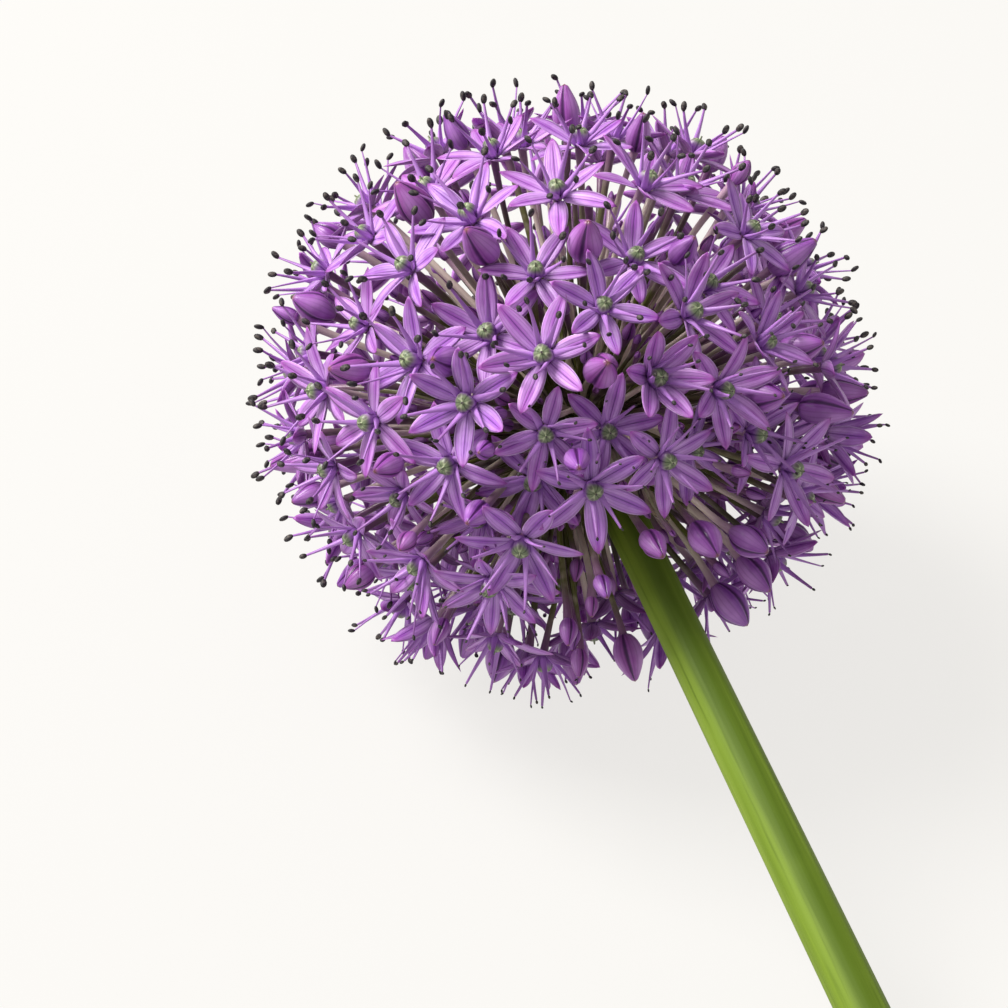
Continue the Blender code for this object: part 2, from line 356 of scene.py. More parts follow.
@dataclass(frozen=True)
class BudFinish(Finish):
    """Satin violet ribs between dark seams, with a painted highlight on the rib crests below the
    tip, and a dark pinched tip.
    """

    body: Colour = (0.230, 0.062, 0.345)
    warm: Colour = (0.285, 0.068, 0.315)
    pale: Colour = (0.520, 0.260, 0.620)
    seam: Colour = (0.050, 0.006, 0.075)
    tip: Colour = (0.210, 0.075, 0.050)

    def paint(self, graph: Graph) -> Coat:
        """Paint a bud.

        Args:
            graph: The material's nodes.

        Returns:
            The colour, the roughness and the height of the surface.
        """
        along, across, _ = graph.parts(graph.attribute("place", "Vector"))
        tone = graph.attribute("tone")
        wander = graph.noise(600.0) - 0.5
        colour = graph.mix(tone, self.body, self.warm)
        # painted highlight: the crests of the ribs are paler, fading out towards the tip
        crown = graph.smooth(across, 0.25, 0.95) * (1 - graph.smooth(along, 0.62, 0.95))
        colour = graph.mix(crown * 0.56 + wander * 0.5, colour, self.pale)
        fine = 1 - graph.smooth(graph.math("PINGPONG", across, 0.17) / 0.17, 0.0, 0.5)
        colour = graph.mix(fine * (0.22 + wander * 0.4), colour, self.seam)
        seam = 1 - graph.smooth(across + wander * 0.08, 0.05, 0.23)
        colour = graph.mix(seam * 0.94, colour, self.seam)
        colour = graph.mix(graph.smooth(along, 0.90, 1.0) * 0.8, colour, self.tip)
        return colour, None, seam * -1.0 - fine * 0.3


@dataclass(frozen=True)
class StalkFinish(Finish):
    """Green-brown stalks, purple below the flower; by chance some are cream, partly painted
    highlight, and some dark purple, partly painted shade; darker and greener towards the foot,
    partly painted shade.
    """

    green: Colour = (0.110, 0.118, 0.022)
    cream: Colour = (0.830, 0.690, 0.600)
    dark: Colour = (0.045, 0.018, 0.030)
    top: Colour = (0.215, 0.065, 0.225)

    def paint(self, graph: Graph) -> Coat:
        """Paint a stalk.

        Args:
            graph: The material's nodes.

        Returns:
            The colour, the roughness and the height of the surface.
        """
        along, _, _ = graph.parts(graph.attribute("place", "Vector"))
        tone = graph.attribute("tone")
        wander = graph.noise(260.0, 3.0)
        # by their tone some stalks turn cream and some dark: partly real pale and dark purple
        # stalks, partly painted highlight on lit stalks and painted shade on stalks in shadow
        colour = graph.mix(graph.smooth(tone, 0.56, 0.84), self.green, self.cream)
        colour = graph.mix((1 - graph.smooth(tone, 0.02, 0.40)) * 0.85, colour, self.dark)
        colour = graph.mix(graph.smooth(wander, 0.50, 0.74) * 0.28, colour, self.cream)
        colour = graph.mix(graph.smooth(along, 0.72, 1.0) * 0.75, colour, self.top)
        # darker and greener towards the foot: partly the stalk's own green, partly painted shade
        # deep inside the head
        colour = graph.darken(1 - graph.smooth(along, 0.0, 0.35), colour, (0.62, 0.66, 0.40))
        return colour, None, wander


@dataclass(frozen=True)
class FilamentFinish(Finish):
    """Pale lilac at the base, deepening to purple below the anther."""

    base: Colour = (0.450, 0.220, 0.600)
    end: Colour = (0.200, 0.065, 0.250)

    def paint(self, graph: Graph) -> Coat:
        """Paint a filament.

        Args:
            graph: The material's nodes.

        Returns:
            The colour, the roughness and the height of the surface.
        """
        along, _, _ = graph.parts(graph.attribute("place", "Vector"))
        share = graph.smooth(along, 0.25, 1.0) * (0.45 + graph.attribute("tone") * 0.55)
        return graph.mix(share, self.base, self.end), None, None


@dataclass(frozen=True)
class AntherFinish(Finish):
    """Near-black with a grey-olive dusting of pollen along the middle."""

    shell: Colour = (0.012, 0.009, 0.012)
    dust: Colour = (0.110, 0.090, 0.075)

    def paint(self, graph: Graph) -> Coat:
        """Paint an anther.

        Args:
            graph: The material's nodes.

        Returns:
            The colour, the roughness and the height of the surface.
        """
        _, across, _ = graph.parts(graph.attribute("place", "Vector"))
        grain = graph.noise(2600.0, 3.0)
        share = graph.smooth(across, 0.2, 0.9) * graph.smooth(grain, 0.38, 0.66)
        return graph.mix(share * 0.8, self.shell, self.dust), None, grain


@dataclass(frozen=True)
class OvaryFinish(Finish):
    """Grey-green lobes with dark grooves, flushed lilac towards the base."""

    crown: Colour = (0.150, 0.185, 0.100)
    light: Colour = (0.380, 0.420, 0.260)
    groove: Colour = (0.035, 0.060, 0.025)
    base: Colour = (0.300, 0.125, 0.420)
    seam: Colour = (0.090, 0.025, 0.150)
    node: Colour = (0.040, 0.025, 0.035)

    def paint(self, graph: Graph) -> Coat:
        """Paint an ovary.

        Args:
            graph: The material's nodes.

        Returns:
            The colour, the roughness and the height of the surface.
        """
        along, across, _ = graph.parts(graph.attribute("place", "Vector"))
        grain = graph.noise(1500.0, 3.0)
        ridge = graph.smooth(across, 0.50, 1.15)
        colour = graph.mix(ridge * (0.5 + grain * 0.8), self.crown, self.light)
        flushed = 1 - graph.smooth(along, 0.34, 0.56)
        colour = graph.mix(flushed, colour, self.base)
        groove = 1 - graph.smooth(across, 0.05, 0.40)
        colour = graph.mix(groove * 0.8, colour, graph.mix(flushed, self.groove, self.seam))
        node = graph.smooth(across, 0.80, 1.15) * graph.smooth(along, 0.42, 0.52)
        colour = graph.mix(node * (1 - graph.smooth(along, 0.56, 0.64)) * 0.75, colour,
                           self.node)
        colour = graph.mix(graph.smooth(along, 0.84, 0.98), colour, self.node)
        return colour, None, grain


@dataclass(frozen=True)
class StemFinish(Finish):
    """Green skin with fine lengthwise streaks, a band of painted shade along its upper side and
    painted shade over the receptacle; a pale, moist cut.
    """

    light: Colour = (0.170, 0.250, 0.022)
    body: Colour = (0.108, 0.170, 0.010)
    deep: Colour = (0.058, 0.100, 0.003)
    cut: Colour = (0.560, 0.640, 0.330)

    def paint(self, graph: Graph) -> Coat:
        """Paint the stem.

        Args:
            graph: The material's nodes.

        Returns:
            The colour, the roughness and the height of the surface.
        """
        grain = graph.attribute("grain", "Vector")
        along, across, cap = graph.parts(graph.attribute("place", "Vector"))
        streaks = graph.noise(1500.0, 4.0, grain, (1.0, 1.0, 0.03))
        broad = graph.noise(260.0, 2.0, grain, (1.0, 1.0, 0.05))
        colour = graph.mix(graph.smooth(broad, 0.35, 0.65), self.body, self.light)
        colour = graph.mix(graph.smooth(streaks, 0.50, 0.75) * 0.60, colour, self.deep)
        colour = graph.mix((1 - graph.smooth(streaks, 0.28, 0.46)) * 0.50, colour, self.light)
        sideways, below, _ = graph.parts(grain)
        # painted shade: a dark band along the stem's upper side, beside its middle, where it turns
        # away from the light
        ridge = graph.smooth(sideways, -0.0028, -0.0006)
        ridge = ridge * (1 - graph.smooth(sideways, -0.0002, 0.0022))
        ridge = ridge * (1 - graph.smooth(below, -0.0030, 0.0))
        colour = graph.mix(ridge * 0.85, colour, self.deep)
        colour = graph.mix(graph.smooth(graph.noise(90.0, 2.0), 0.55, 0.8) * 0.2,
                           colour, self.light)
        # painted shade: the receptacle and the top of the stem, deep among the stalks and bracts,
        # are darkened
        crown = 1 - graph.smooth(along, 0.13, 0.24)
        colour = graph.mix(crown, colour, (0.060, 0.066, 0.018))
        pith = graph.mix(graph.smooth(across, 0.72, 0.95), self.cut, self.body)
        colour = graph.mix(cap, colour, pith)
        return colour, self.roughness - 0.08 + streaks * 0.16 - cap * 0.18, streaks


@dataclass(frozen=True)
class BractFinish(Finish):
    """Dry whitish-tan paper with parallel veins and brown, ragged ends."""

    paper: Colour = (0.640, 0.560, 0.460)
    brown: Colour = (0.280, 0.190, 0.110)

    def paint(self, graph: Graph) -> Coat:
        """Paint a bract.

        Args:
            graph: The material's nodes.

        Returns:
            The colour, the roughness and the height of the surface.
        """
        along, across, _ = graph.parts(graph.attribute("place", "Vector"))
        wander = graph.noise(420.0, 4.0)
        veins = graph.math("PINGPONG", across * 0.5 + 0.5, 0.06) / 0.06
        share = graph.smooth(along, 0.55, 1.05) * 0.7 + graph.smooth(wander, 0.5, 0.7) * 0.3
        colour = graph.mix(share, self.paper, self.brown)
        fine = 1 - graph.smooth(veins, 0.0, 0.6)
        rough = self.roughness - 0.10 + wander * 0.2
        return graph.mix(fine * 0.3, colour, self.brown), rough, fine + wander


@dataclass(frozen=True)
class SurfaceFinish(Finish):
    """The plain pale surface that the flower lies on."""

    colour: Colour = (0.098, 0.097, 0.095)
    glow: Colour = (0.782, 0.769, 0.744)    # glows with light of its own, a painted light that keeps shadows faint

    def paint(self, graph: Graph) -> Coat:
        """Return the colour, the roughness and the height of the surface."""
        cloudy = graph.noise(1.5) * 0.2
        return graph.mix(cloudy, self.colour, (0.090, 0.089, 0.087)), None, None

    def material(self) -> bpy.types.Material:
        """Make the surface's material, with its glow.

        Returns:
            The new material.
        """
        made = super().material()
        shader = made.node_tree.nodes["Principled BSDF"]
        shader.inputs["Emission Color"].default_value = (*self.glow, 1.0)
        shader.inputs["Emission Strength"].default_value = 1.0
        shader.inputs["Specular IOR Level"].default_value = 0.0
        return made


# ---------------------------------------------------------------- where the flowers stand


def on_cap(count: int, start: float, reach: float, turn: float) -> np.ndarray:
    """Return evenly spread directions whose angles from +Z run from start to reach.

    Args:
        count: How many directions.
        start: The least angle.
        reach: The greatest angle.
        turn: Where the spiral starts.

    Returns:
        One direction a row.
    """
    step = np.arange(count) + 0.5
    height = np.cos(start) + (np.cos(reach) - np.cos(start)) * step / count
    around = step * math.pi * (3 - math.sqrt(5)) + turn
    across = np.sqrt(1 - height ** 2)
    return np.stack([across * np.cos(around), across * np.sin(around), height], axis=1)


def spread(points: np.ndarray, others: np.ndarray, reach: float, rounds: int) -> np.ndarray:
    """Push directions apart.

    Args:
        points: The directions that move.
        others: Directions that stay and push too.
        reach: The greatest angle from +Z.
        rounds: How often they move.

    Returns:
        The moved directions.
    """
    step = 0.35 * math.sqrt(4 * math.pi / (len(points) + len(others)))
    for _ in range(rounds):
        crowd = np.concatenate([points, others])
        away = points[:, None, :] - crowd[None, :, :]
        distance = np.linalg.norm(away, axis=2)
        distance[distance < 1e-9] = 1e9
        push = (away / distance[:, :, None] ** 4).sum(axis=1)
        push /= np.linalg.norm(push, axis=1).max()
        points = points + step * push
        points /= np.linalg.norm(points, axis=1)[:, None]
        low = points[:, 2] < math.cos(reach)
        across = np.linalg.norm(points[:, :2], axis=1)
        points[low, :2] *= (math.sin(reach) / across[low])[:, None]
        points[low, 2] = math.cos(reach)
        step *= 0.93
    return points


def upright(axis: np.ndarray, spin: float) -> np.ndarray:
    """Stand a turn matrix on an axis.

    Args:
        axis: The direction of the third column.
        spin: The turn about it.

    Returns:
        The matrix.
    """
    side = np.cross(axis, (0.0, 0.0, 1.0) if abs(axis[2]) < 0.9 else (1.0, 0.0, 0.0))
    side /= np.linalg.norm(side)
    other = np.cross(axis, side)
    cos, sin = math.cos(spin), math.sin(spin)
    return np.stack([cos * side + sin * other, cos * other - sin * side, axis], axis=1)


@dataclass(frozen=True)
class Plan:
    """The driving sizes of the flower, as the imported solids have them."""

    stem_length: float = 0.140
    stem_top_radius: float = 0.0032
    stem_end_radius: float = 0.0036
    stem_tilt: float = math.radians(16)
    stem_sides: int = 20
    receptacle_radius: float = 0.0058
    receptacle_ahead: float = 0.0380     # from the frame's origin, along +Y
    head_radius: float = 0.050
    head_lead: float = 0.010
    open_florets: int = 140
    buds: int = 76
    clusters: int = 52
    open_reach: float = math.radians(132)
    bud_start: float = math.radians(12)
    bud_reach: float = math.radians(153)
    foot_reach: float = math.radians(124)
    pedicel_radius: float = 0.0005
    tepal_length: float = 0.0070
    tepal_half_width: float = 0.0010
    stamen_length: float = 0.0095
    heart_radius: float = 0.0014
    heart_depth: float = 0.0014
    bud_length: float = 0.0083
    bud_radius: float = 0.0023
    seed: int = 12
    lean: float = 0.07
    clear_enough: float = 0.0003
    touch_cost: float = 5
    cup_cost: float = 0.0009
    sink_cost: float = 0.04
    sweeps: int = 4
    near: float = 0.62
    open_cups: Sequence[float] = tuple(math.radians(angle) for angle in (12, 22, 33, 46))
    open_sinks: Sequence[float] = (0.0, 0.0015, 0.003, 0.0045, 0.006, 0.008)
    bud_sinks: Sequence[float] = (0.003, 0.005, 0.007, 0.009, 0.011, 0.013)
    bud_sizes: Sequence[float] = (0.55, 0.75, 0.75, 0.9, 0.9, 1.0, 1.0)

    @property
    def receptacle(self) -> Vector:
        """Find the receptacle's centre.

        Returns:
            The point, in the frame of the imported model.
        """
        flat = math.cos(math.pi / self.stem_sides)
        lift = self.stem_end_radius * math.cos(self.stem_tilt) * flat
        return Vector((0.0, self.receptacle_ahead,
                       self.stem_length * math.sin(self.stem_tilt) + lift))

    @property
    def head_frame(self) -> Matrix:
        """Return the frame of the head: +Z towards the apex, +X as the world's."""
        turn = Matrix.Rotation(self.stem_tilt - math.pi / 2, 4, "X")
        return Matrix.Translation(self.receptacle) @ turn


@dataclass
class Flower:
    """One flower: the top of its stalk, the way it faces, and how far it has opened."""

    plan: Plan
    is_open: bool
    direction: np.ndarray
    base: np.ndarray
    axis: np.ndarray
    spin: float
    cup: float
    size: float
    sink: float

    def turn(self) -> np.ndarray:
        """Return the flower's turn matrix."""
        return upright(self.axis, self.spin)

    def tepal_points(self, shares: np.ndarray) -> np.ndarray:
        """Follow every tepal's midline.

        Args:
            shares: Shares of the tepal's length.

        Returns:
            One point a row, all tepals of a share together.
        """
        angles = 2 * math.pi * (np.arange(TEPALS) + 0.5) / TEPALS
        length = self.plan.tepal_length * self.size * np.array(shares)[:, None]
        out = self.plan.heart_radius + length * math.cos(self.cup)
        rise = self.plan.heart_depth / 2 + length * math.sin(self.cup) + 0 * angles
        points = np.stack([out * np.cos(angles), out * np.sin(angles), rise], axis=-1)
        return self.base + points.reshape(-1, 3) @ self.turn().T

    def room(self) -> np.ndarray:
        """Fill the flower and the outer half of its stalk with balls.

        Returns:
            Rows of x, y, z and radius.
        """
        plan = self.plan
        receptacle = np.array(plan.receptacle)
        stalk = receptacle + (self.base - receptacle) * np.arange(0.45, 0.98, 0.08)[:, None]
        if self.is_open:
            heart = self.base + self.axis * plan.heart_depth
            stamens = self.base + self.axis * plan.stamen_length * 0.5
            tepals = self.tepal_points(np.array((0.3, 0.55, 0.8, 1.0)))
            middles = [stalk, tepals, [heart, stamens]]
            widths = plan.tepal_half_width * np.repeat((0.9, 1.0, 0.7, 0.2), TEPALS)
            radii = [widths, [plan.heart_radius, plan.heart_radius * 1.5]]
        else:
            shares = np.array((0.2, 0.5, 0.85))[:, None]
            middles = [stalk, self.base + self.axis * plan.bud_length * self.size * shares]
            radii = [plan.bud_radius * self.size * np.array((0.7, 1.0, 0.5))]
        radii = np.concatenate([np.full(len(stalk), plan.pedicel_radius), *radii])
        return np.column_stack([np.concatenate(middles), radii])


@dataclass
class Arrangement:
    """Finds where every flower stands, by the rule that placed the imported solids."""

    plan: Plan

    def stand(self, direction: np.ndarray, is_open: bool, sink: float, spin: float,
              cup: float, size: float, lean: np.ndarray) -> Flower:
        """Return a flower whose outer end reaches the head's surface, less the given sink.

        Args:
            direction: From the receptacle's centre, in the head's frame.
            is_open: Whether it is a floret or a bud.
            sink: How far it stays below the surface.
            spin: Its turn about its own axis.
            cup: How far its tepals rise from flat.
            size: Its share of full size.
            lean: How its axis strays.

        Returns:
            The flower.
        """
        plan = self.plan
        turn = np.array(plan.head_frame.to_3x3())
        ahead = plan.head_lead * direction[2]
        outer = ahead + math.sqrt(plan.head_radius ** 2 - plan.head_lead ** 2 + ahead ** 2)
        own_length = plan.stamen_length if is_open else plan.bud_length * size
        base = np.array(plan.receptacle) + turn @ direction * (outer - own_length - sink)
        axis = base - np.array(plan.head_frame @ Vector((0, 0, plan.head_lead)))
        axis = axis / np.linalg.norm(axis) + lean
        axis = axis / np.linalg.norm(axis)
        return Flower(plan, is_open, direction, base, axis, spin, cup, size, sink)

    def poses(self, is_open: bool, spin: float) -> Iterator[tuple[float, float, float]]:
        """List the ways in which a flower could stand.

        Args:
            is_open: Whether it is a floret or a bud.
            spin: Its own turn.

        Returns:
            Its sink, spin and cup in each way.
        """
        plan = self.plan
        if is_open:
            spins = [spin + math.radians(more) for more in (0, 15, 30, 45)]
            return itertools.product(plan.open_sinks, spins, plan.open_cups)
        return itertools.product(plan.bud_sinks, (spin,), (0.0,))

    def clearances(self, rooms: np.ndarray, crowd: np.ndarray) -> np.ndarray:
        """Measure how clear each group of balls stands of a crowd.

        Args:
            rooms: Groups of balls.
            crowd: The balls around them.

        Returns:
            One gap for each group, below 0 where balls overlap.
        """
        middles, radii = rooms[..., :3].reshape(-1, 3), rooms[..., 3].reshape(-1)
        squares = (middles ** 2).sum(axis=1)[:, None] + (crowd[:, :3] ** 2).sum(axis=1)
        gaps = np.sqrt(np.maximum(squares - 2 * middles @ crowd[:, :3].T, 0))
        gaps -= radii[:, None] + crowd[:, 3]
        return np.round(gaps.reshape(len(rooms), -1).min(axis=1), 9)

    def best_way(self, rooms: np.ndarray, tastes: np.ndarray, crowd: np.ndarray) -> int:
        """Choose how a flower stands: room to the neighbours first, then flat and high.

        Args:
            rooms: The balls of every way to stand.
            tastes: What each way costs.
            crowd: The neighbours' balls.

        Returns:
            The number of the best way.
        """
        gaps = self.clearances(rooms, crowd)
        gaps = np.where(gaps > 0, np.minimum(gaps, self.plan.clear_enough),
                        gaps * self.plan.touch_cost)
        return int(np.argmax(gaps - tastes))

    def flowers(self) -> list[Flower]:
        """Place the florets, then the buds in the gaps, each clear of its neighbours.

        Returns:
            The flowers, florets first.
        """
        plan = self.plan
        dice = np.random.default_rng(plan.seed)
        florets = on_cap(plan.open_florets, 0, plan.open_reach, 0.4)
        florets = florets + dice.normal(0, 0.05, (plan.open_florets, 3))
        florets = spread(florets, np.empty((0, 3)), plan.open_reach, 14)
        buds = on_cap(plan.buds, plan.bud_start, plan.bud_reach, 2.1)
        buds = spread(buds, florets, plan.bud_reach, 40)
        directions = np.concatenate([florets, buds])
        ways, rooms, tastes = [], [], []
        for number, direction in enumerate(directions):
            is_open = number < plan.open_florets
            size = dice.uniform(0.92, 1.08) if is_open else dice.choice(plan.bud_sizes)
            lean, spin = dice.normal(0, plan.lean, 3), dice.uniform(0, 1)
            stood = [self.stand(direction, is_open, *pose, size, lean)
                     for pose in self.poses(is_open, spin)]
            ways.append(stood)
            rooms.append(np.array([way.room() for way in stood]))
            tastes.append(np.array([plan.cup_cost * way.cup + plan.sink_cost * way.sink
                                    for way in stood]))
        chosen = [0] * len(directions)
        for _ in range(plan.sweeps):
            for number, direction in enumerate(directions):
                near = np.linalg.norm(directions - direction, axis=1) < plan.near
                near[number] = False
                crowd = [rooms[other][chosen[other]] for other in np.flatnonzero(near)]
                chosen[number] = self.best_way(rooms[number], tastes[number],
                                               np.concatenate(crowd))
        return [stood[choice] for stood, choice in zip(ways, chosen)]

    def clusters(self, flowers: list[Flower]) -> list[tuple[np.ndarray, list[Flower]]]:
        """Share the flowers out among the clusters.

        Args:
            flowers: All the flowers.

        Returns:
            Each cluster's centre direction and its flowers.
        """
        plan = self.plan
        directions = np.array([flower.direction for flower in flowers])
        centres = on_cap(plan.clusters, 0, plan.bud_reach, 1.0)
        for _ in range(30):
            owner = np.argmax(directions @ centres.T, axis=1)
            for number in range(plan.clusters):
                own = directions[owner == number]
                if len(own):
                    centres[number] = own.sum(axis=0) / np.linalg.norm(own.sum(axis=0))
        return [(centre, [f for f, owned_by in zip(flowers, owner) if owned_by == number])
                for number, centre in enumerate(centres)]

    def foot(self, direction: np.ndarray) -> np.ndarray:
        """Find where a cluster's foot faces.

        Args:
            direction: The cluster's centre direction, in the head's frame.

        Returns:
            The direction from the receptacle's centre, in the world.
        """
        plan = self.plan
        polar = math.acos(max(-1.0, min(1.0, direction[2]))) * plan.foot_reach / plan.bud_reach
        across = direction[:2] / max(1e-9, np.linalg.norm(direction[:2]))
        local = np.array([*(across * math.sin(polar)), math.cos(polar)])
        return np.array(plan.head_frame.to_3x3()) @ local


# ---------------------------------------------------------------- shapes of the organs


def lofted(name: str, rings: np.ndarray, start: Sequence[float], end: Sequence[float],
           across: np.ndarray, side: np.ndarray | None = None) -> bpy.types.Mesh:
    """Return a closed skin over rings of points, with a pole at each end.

    Each point keeps its place along, across and on which side of the organ it is, and how far
    round the ring it lies.

    Args:
        name: The mesh's name.
        rings: Points as rings by points by 3.
        start: The pole before the first ring.
        end: The pole after the last ring.
        across: Each ring point's place across the organ.
        side: Each ring point's third number of its place, 0 if not given.

    Returns:
        The mesh.
    """
    count, around, _ = rings.shape
    points = np.concatenate([[start], rings.reshape(-1, 3), [end]])
    ring = np.arange(count)[:, None] * around + 1
    spot = np.arange(around)[None, :]
    here, beside = ring + spot, ring + (spot + 1) % around
    quads = np.stack([here[:-1], beside[:-1], beside[1:], here[1:]], axis=-1).reshape(-1, 4)
    last = count * around + 1
    first_fan = np.stack([beside[0], here[0], np.zeros(around, int)], axis=-1)
    last_fan = np.stack([here[-1], beside[-1], np.full(around, last)], axis=-1)
    mesh = bpy.data.meshes.new(name)
    mesh.from_pydata(points.tolist(), [], [*quads.tolist(), *first_fan.tolist(),
                                           *last_fan.tolist()])
    along = np.repeat(np.arange(1, count + 1) / (count + 1), around)
    place = np.zeros((last + 1, 3))
    place[1:-1, 0] = along
    place[-1, 0] = 1.0
    place[1:-1, 1] = np.tile(across, count)
    if side is not None:
        place[1:-1, 2] = np.tile(side, count)
    write_points(mesh, "place", "FLOAT_VECTOR", place)
    turning = np.full(last + 1, -1.0)
    turning[1:-1] = np.tile(np.arange(around) / around, count)
    write_points(mesh, "turning", "FLOAT", turning)
    mesh.shade_smooth()
    return mesh


def write_points(mesh: bpy.types.Mesh, name: str, kind: str, values: np.ndarray) -> None:
    """Store one value for each of a mesh's points, as an attribute.

    Args:
        mesh: The mesh.
        name: The attribute's name.
        kind: Its data type.
        values: One value or vector for each point.
    """
    made = mesh.attributes.new(name, kind, "POINT")
    field_name = "vector" if kind == "FLOAT_VECTOR" else "value"
    made.data.foreach_set(field_name, np.asarray(values).ravel())


def circle(count: int) -> tuple[np.ndarray, np.ndarray]:
    """Return the cosines and sines of evenly spaced angles."""
    angles = 2 * math.pi * np.arange(count) / count
    return np.cos(angles), np.sin(angles)


@dataclass(frozen=True)
class TepalShape:
    """A narrow elliptic blade along +X with raised edges; its inner face looks along +Z."""

    length: float = 0.0084
    half_width: float = 0.00160
    thickness: float = 0.00016
    dish: float = 0.00042       # how far the edges rise above the midrib
    trough: float = 0.00022     # how deep the midrib lies
    tip_fullness: float = 0.74
    base_fullness: float = 0.80
    width_gain: float = 2.28    # makes half_width the width at the widest place
    rows: int = 11
    bend: float = 0.0           # how far the tip rises or falls
    sway: float = 0.0           # how far the tip goes sideways
    twist: float = 0.0

    def mesh(self) -> bpy.types.Mesh:
        """Loft the blade.

        Returns:
            A closed mesh.
        """
        across = np.array((-1.0, -0.55, 0.0, 0.55, 1.0, 0.55, 0.0, -0.55))
        side = np.array((0.0, 1.0, 1.0, 1.0, 0.0, -1.0, -1.0, -1.0))
        share = np.arange(1, self.rows + 1) / (self.rows + 1)
        share = share[:, None]
        width = (1 - share) ** self.tip_fullness * (share + 0.11) ** self.base_fullness
        width = width * self.half_width * self.width_gain
        trough = self.trough * np.exp(-(across / 0.30) ** 2) * (1 - share)
        lift = self.dish * across ** 2 * np.sin(math.pi * share) - trough
        lift = lift + side * self.thickness * (1 - across ** 2) * np.sqrt(1 - share * 0.8)
        turn = self.twist * share
        y, z = width * across, lift
        y, z = y * np.cos(turn) - z * np.sin(turn), y * np.sin(turn) + z * np.cos(turn)
        x = self.length * share + 0 * y
        y = y + self.sway * share ** 2
        z = z + self.bend * share ** 2
        rings = np.stack([x, y, z], axis=-1)
        return lofted("tepal", rings[:, ::-1], (0, 0, 0), (self.length, self.sway, self.bend),
                      across[::-1], side[::-1])


@dataclass(frozen=True)
class FilamentShape:
    """A thread along +Z, broad at its base and drawn out to the anther, bowed towards +X."""

    length: float = 0.0085
    base_radius: float = 0.00066
    end_radius: float = 0.00021
    bow: float = 0.0

    def centre(self, share: np.ndarray) -> np.ndarray:
        """Return the thread's middle at shares of its length."""
        return np.stack([self.bow * share ** 2, 0 * share, self.length * share], axis=-1)

    def mesh(self) -> bpy.types.Mesh:
        """Loft the thread.

        Returns:
            A closed mesh.
        """
        share = np.array((0.02, 0.15, 0.32, 0.52, 0.76, 0.98))
        radius = self.end_radius + (self.base_radius - self.end_radius) * (1 - share) ** 1.5
        cos, sin = circle(6)
        offset = np.stack([cos * 0.55, sin, 0 * cos], axis=-1)
        rings = self.centre(share)[:, None, :] + radius[:, None, None] * offset[None]
        tip = self.centre(np.array(1.0))
        return lofted("filament", rings, (0, 0, 0), tip, np.zeros(6))


@dataclass(frozen=True)
class AntherShape:
    """A two-lobed pouch on the end of a filament."""

    length: float = 0.00145
    radius: float = 0.00052
    tilt: float = 0.5

    def mesh(self) -> bpy.types.Mesh:
        """Loft the pouch.

        Returns:
            A closed mesh.
        """
        cos, sin = circle(8)
        polar = math.pi * np.arange(1, 6) / 6
        lobes = 1 - 0.16 * np.abs(cos) ** 3
        width = self.radius * np.sin(polar)[:, None] * lobes
        rise = -0.5 * self.length * np.cos(polar)[:, None] + 0 * cos
        rings = np.stack([width * cos * 0.85, width * sin, rise], axis=-1)
        turn = np.array(Matrix.Rotation(self.tilt, 3, "Y"))
        middle = turn @ (0, 0, self.length * 0.35)
        poles = [middle + turn @ (0, 0, way * self.length * 0.5) for way in (-1, 1)]
        return lofted("anther", middle + rings @ turn.T, *poles, np.abs(cos))


@dataclass(frozen=True)
class OvaryShape:
    """A squat barrel of six rounded lobes in three pairs, with a short style on top."""

    height: float = 0.00300
    radius: float = 0.00146

    def mesh(self) -> bpy.types.Mesh:
        """Loft the barrel.

        Returns:
            A closed mesh.
        """
        count = 24
        cos, sin = circle(count)
        angles = 2 * math.pi * np.arange(count) / count
        valley = np.abs(np.cos(1.5 * angles))
        small = np.abs(np.cos(3.0 * angles))
        profile = ((0.00, 0.62), (0.12, 0.84), (0.32, 1.00), (0.55, 1.02), (0.76, 0.90),
                   (0.91, 0.66), (0.97, 0.38), (0.92, 0.16), (1.02, 0.11), (1.14, 0.09))
        rings = []
        for rise, out in profile:
            depth = 0.0 if rise > 1 or out < 0.2 else math.sin(math.pi * min(rise + 0.12, 0.9))
            lobes = 1 - depth * (0.34 * (1 - valley) ** 2 + 0.13 * (1 - small) ** 2)
            reach = self.radius * out * lobes
            rings.append(np.stack([reach * cos, reach * sin,
                                   self.height * rise + 0 * cos], axis=-1))
        top = (0, 0, self.height * 1.16)
        return lofted("ovary", np.array(rings), (0, 0, -0.0002), top,
                      np.minimum(valley * 1.6, 0.25 + small))


@dataclass(frozen=True)
class BudShape:
    """A closed flower: six tepals that meet in sunken seams, drawn together at the tip."""

    length: float = 0.0083
    radius: float = 0.00245
    belly: float = 0.42         # where along the bud it is widest
    beak: float = 0.10          # how long the narrow tip is

    def mesh(self) -> bpy.types.Mesh:
        """Loft the bud.

        Returns:
            A closed mesh.
        """
        count = 36
        cos, sin = circle(count)
        angles = 2 * math.pi * np.arange(count) / count
        rib = 1 - np.abs(1 - (angles * 3 / math.pi) % 2)
        share = np.array((0.0, 0.04, 0.10, 0.18, 0.28, 0.40, 0.52, 0.64, 0.75, 0.84, 0.91, 0.96))
        bulge = np.sin(math.pi * share ** (math.log(0.5) / math.log(self.belly))) ** 0.82
        width = self.radius * (bulge + 0.28 * (1 - share) ** 6 + self.beak * share ** 6)
        depth = 0.17 * np.sin(math.pi * np.clip(share + 0.05, 0, 1)) ** 0.5
        groove = np.exp(-(rib / 0.20) ** 2)[None, :] * depth[:, None]
        crown = 0.05 * rib[None, :] * depth[:, None] / 0.17
        reach = width[:, None] * (1 - groove + crown)
        rings = np.stack([reach * cos, reach * sin, self.length * share[:, None] + 0 * cos],
                         axis=-1)
        return lofted("bud", rings, (0, 0, -0.0001), (0, 0, self.length), rib)


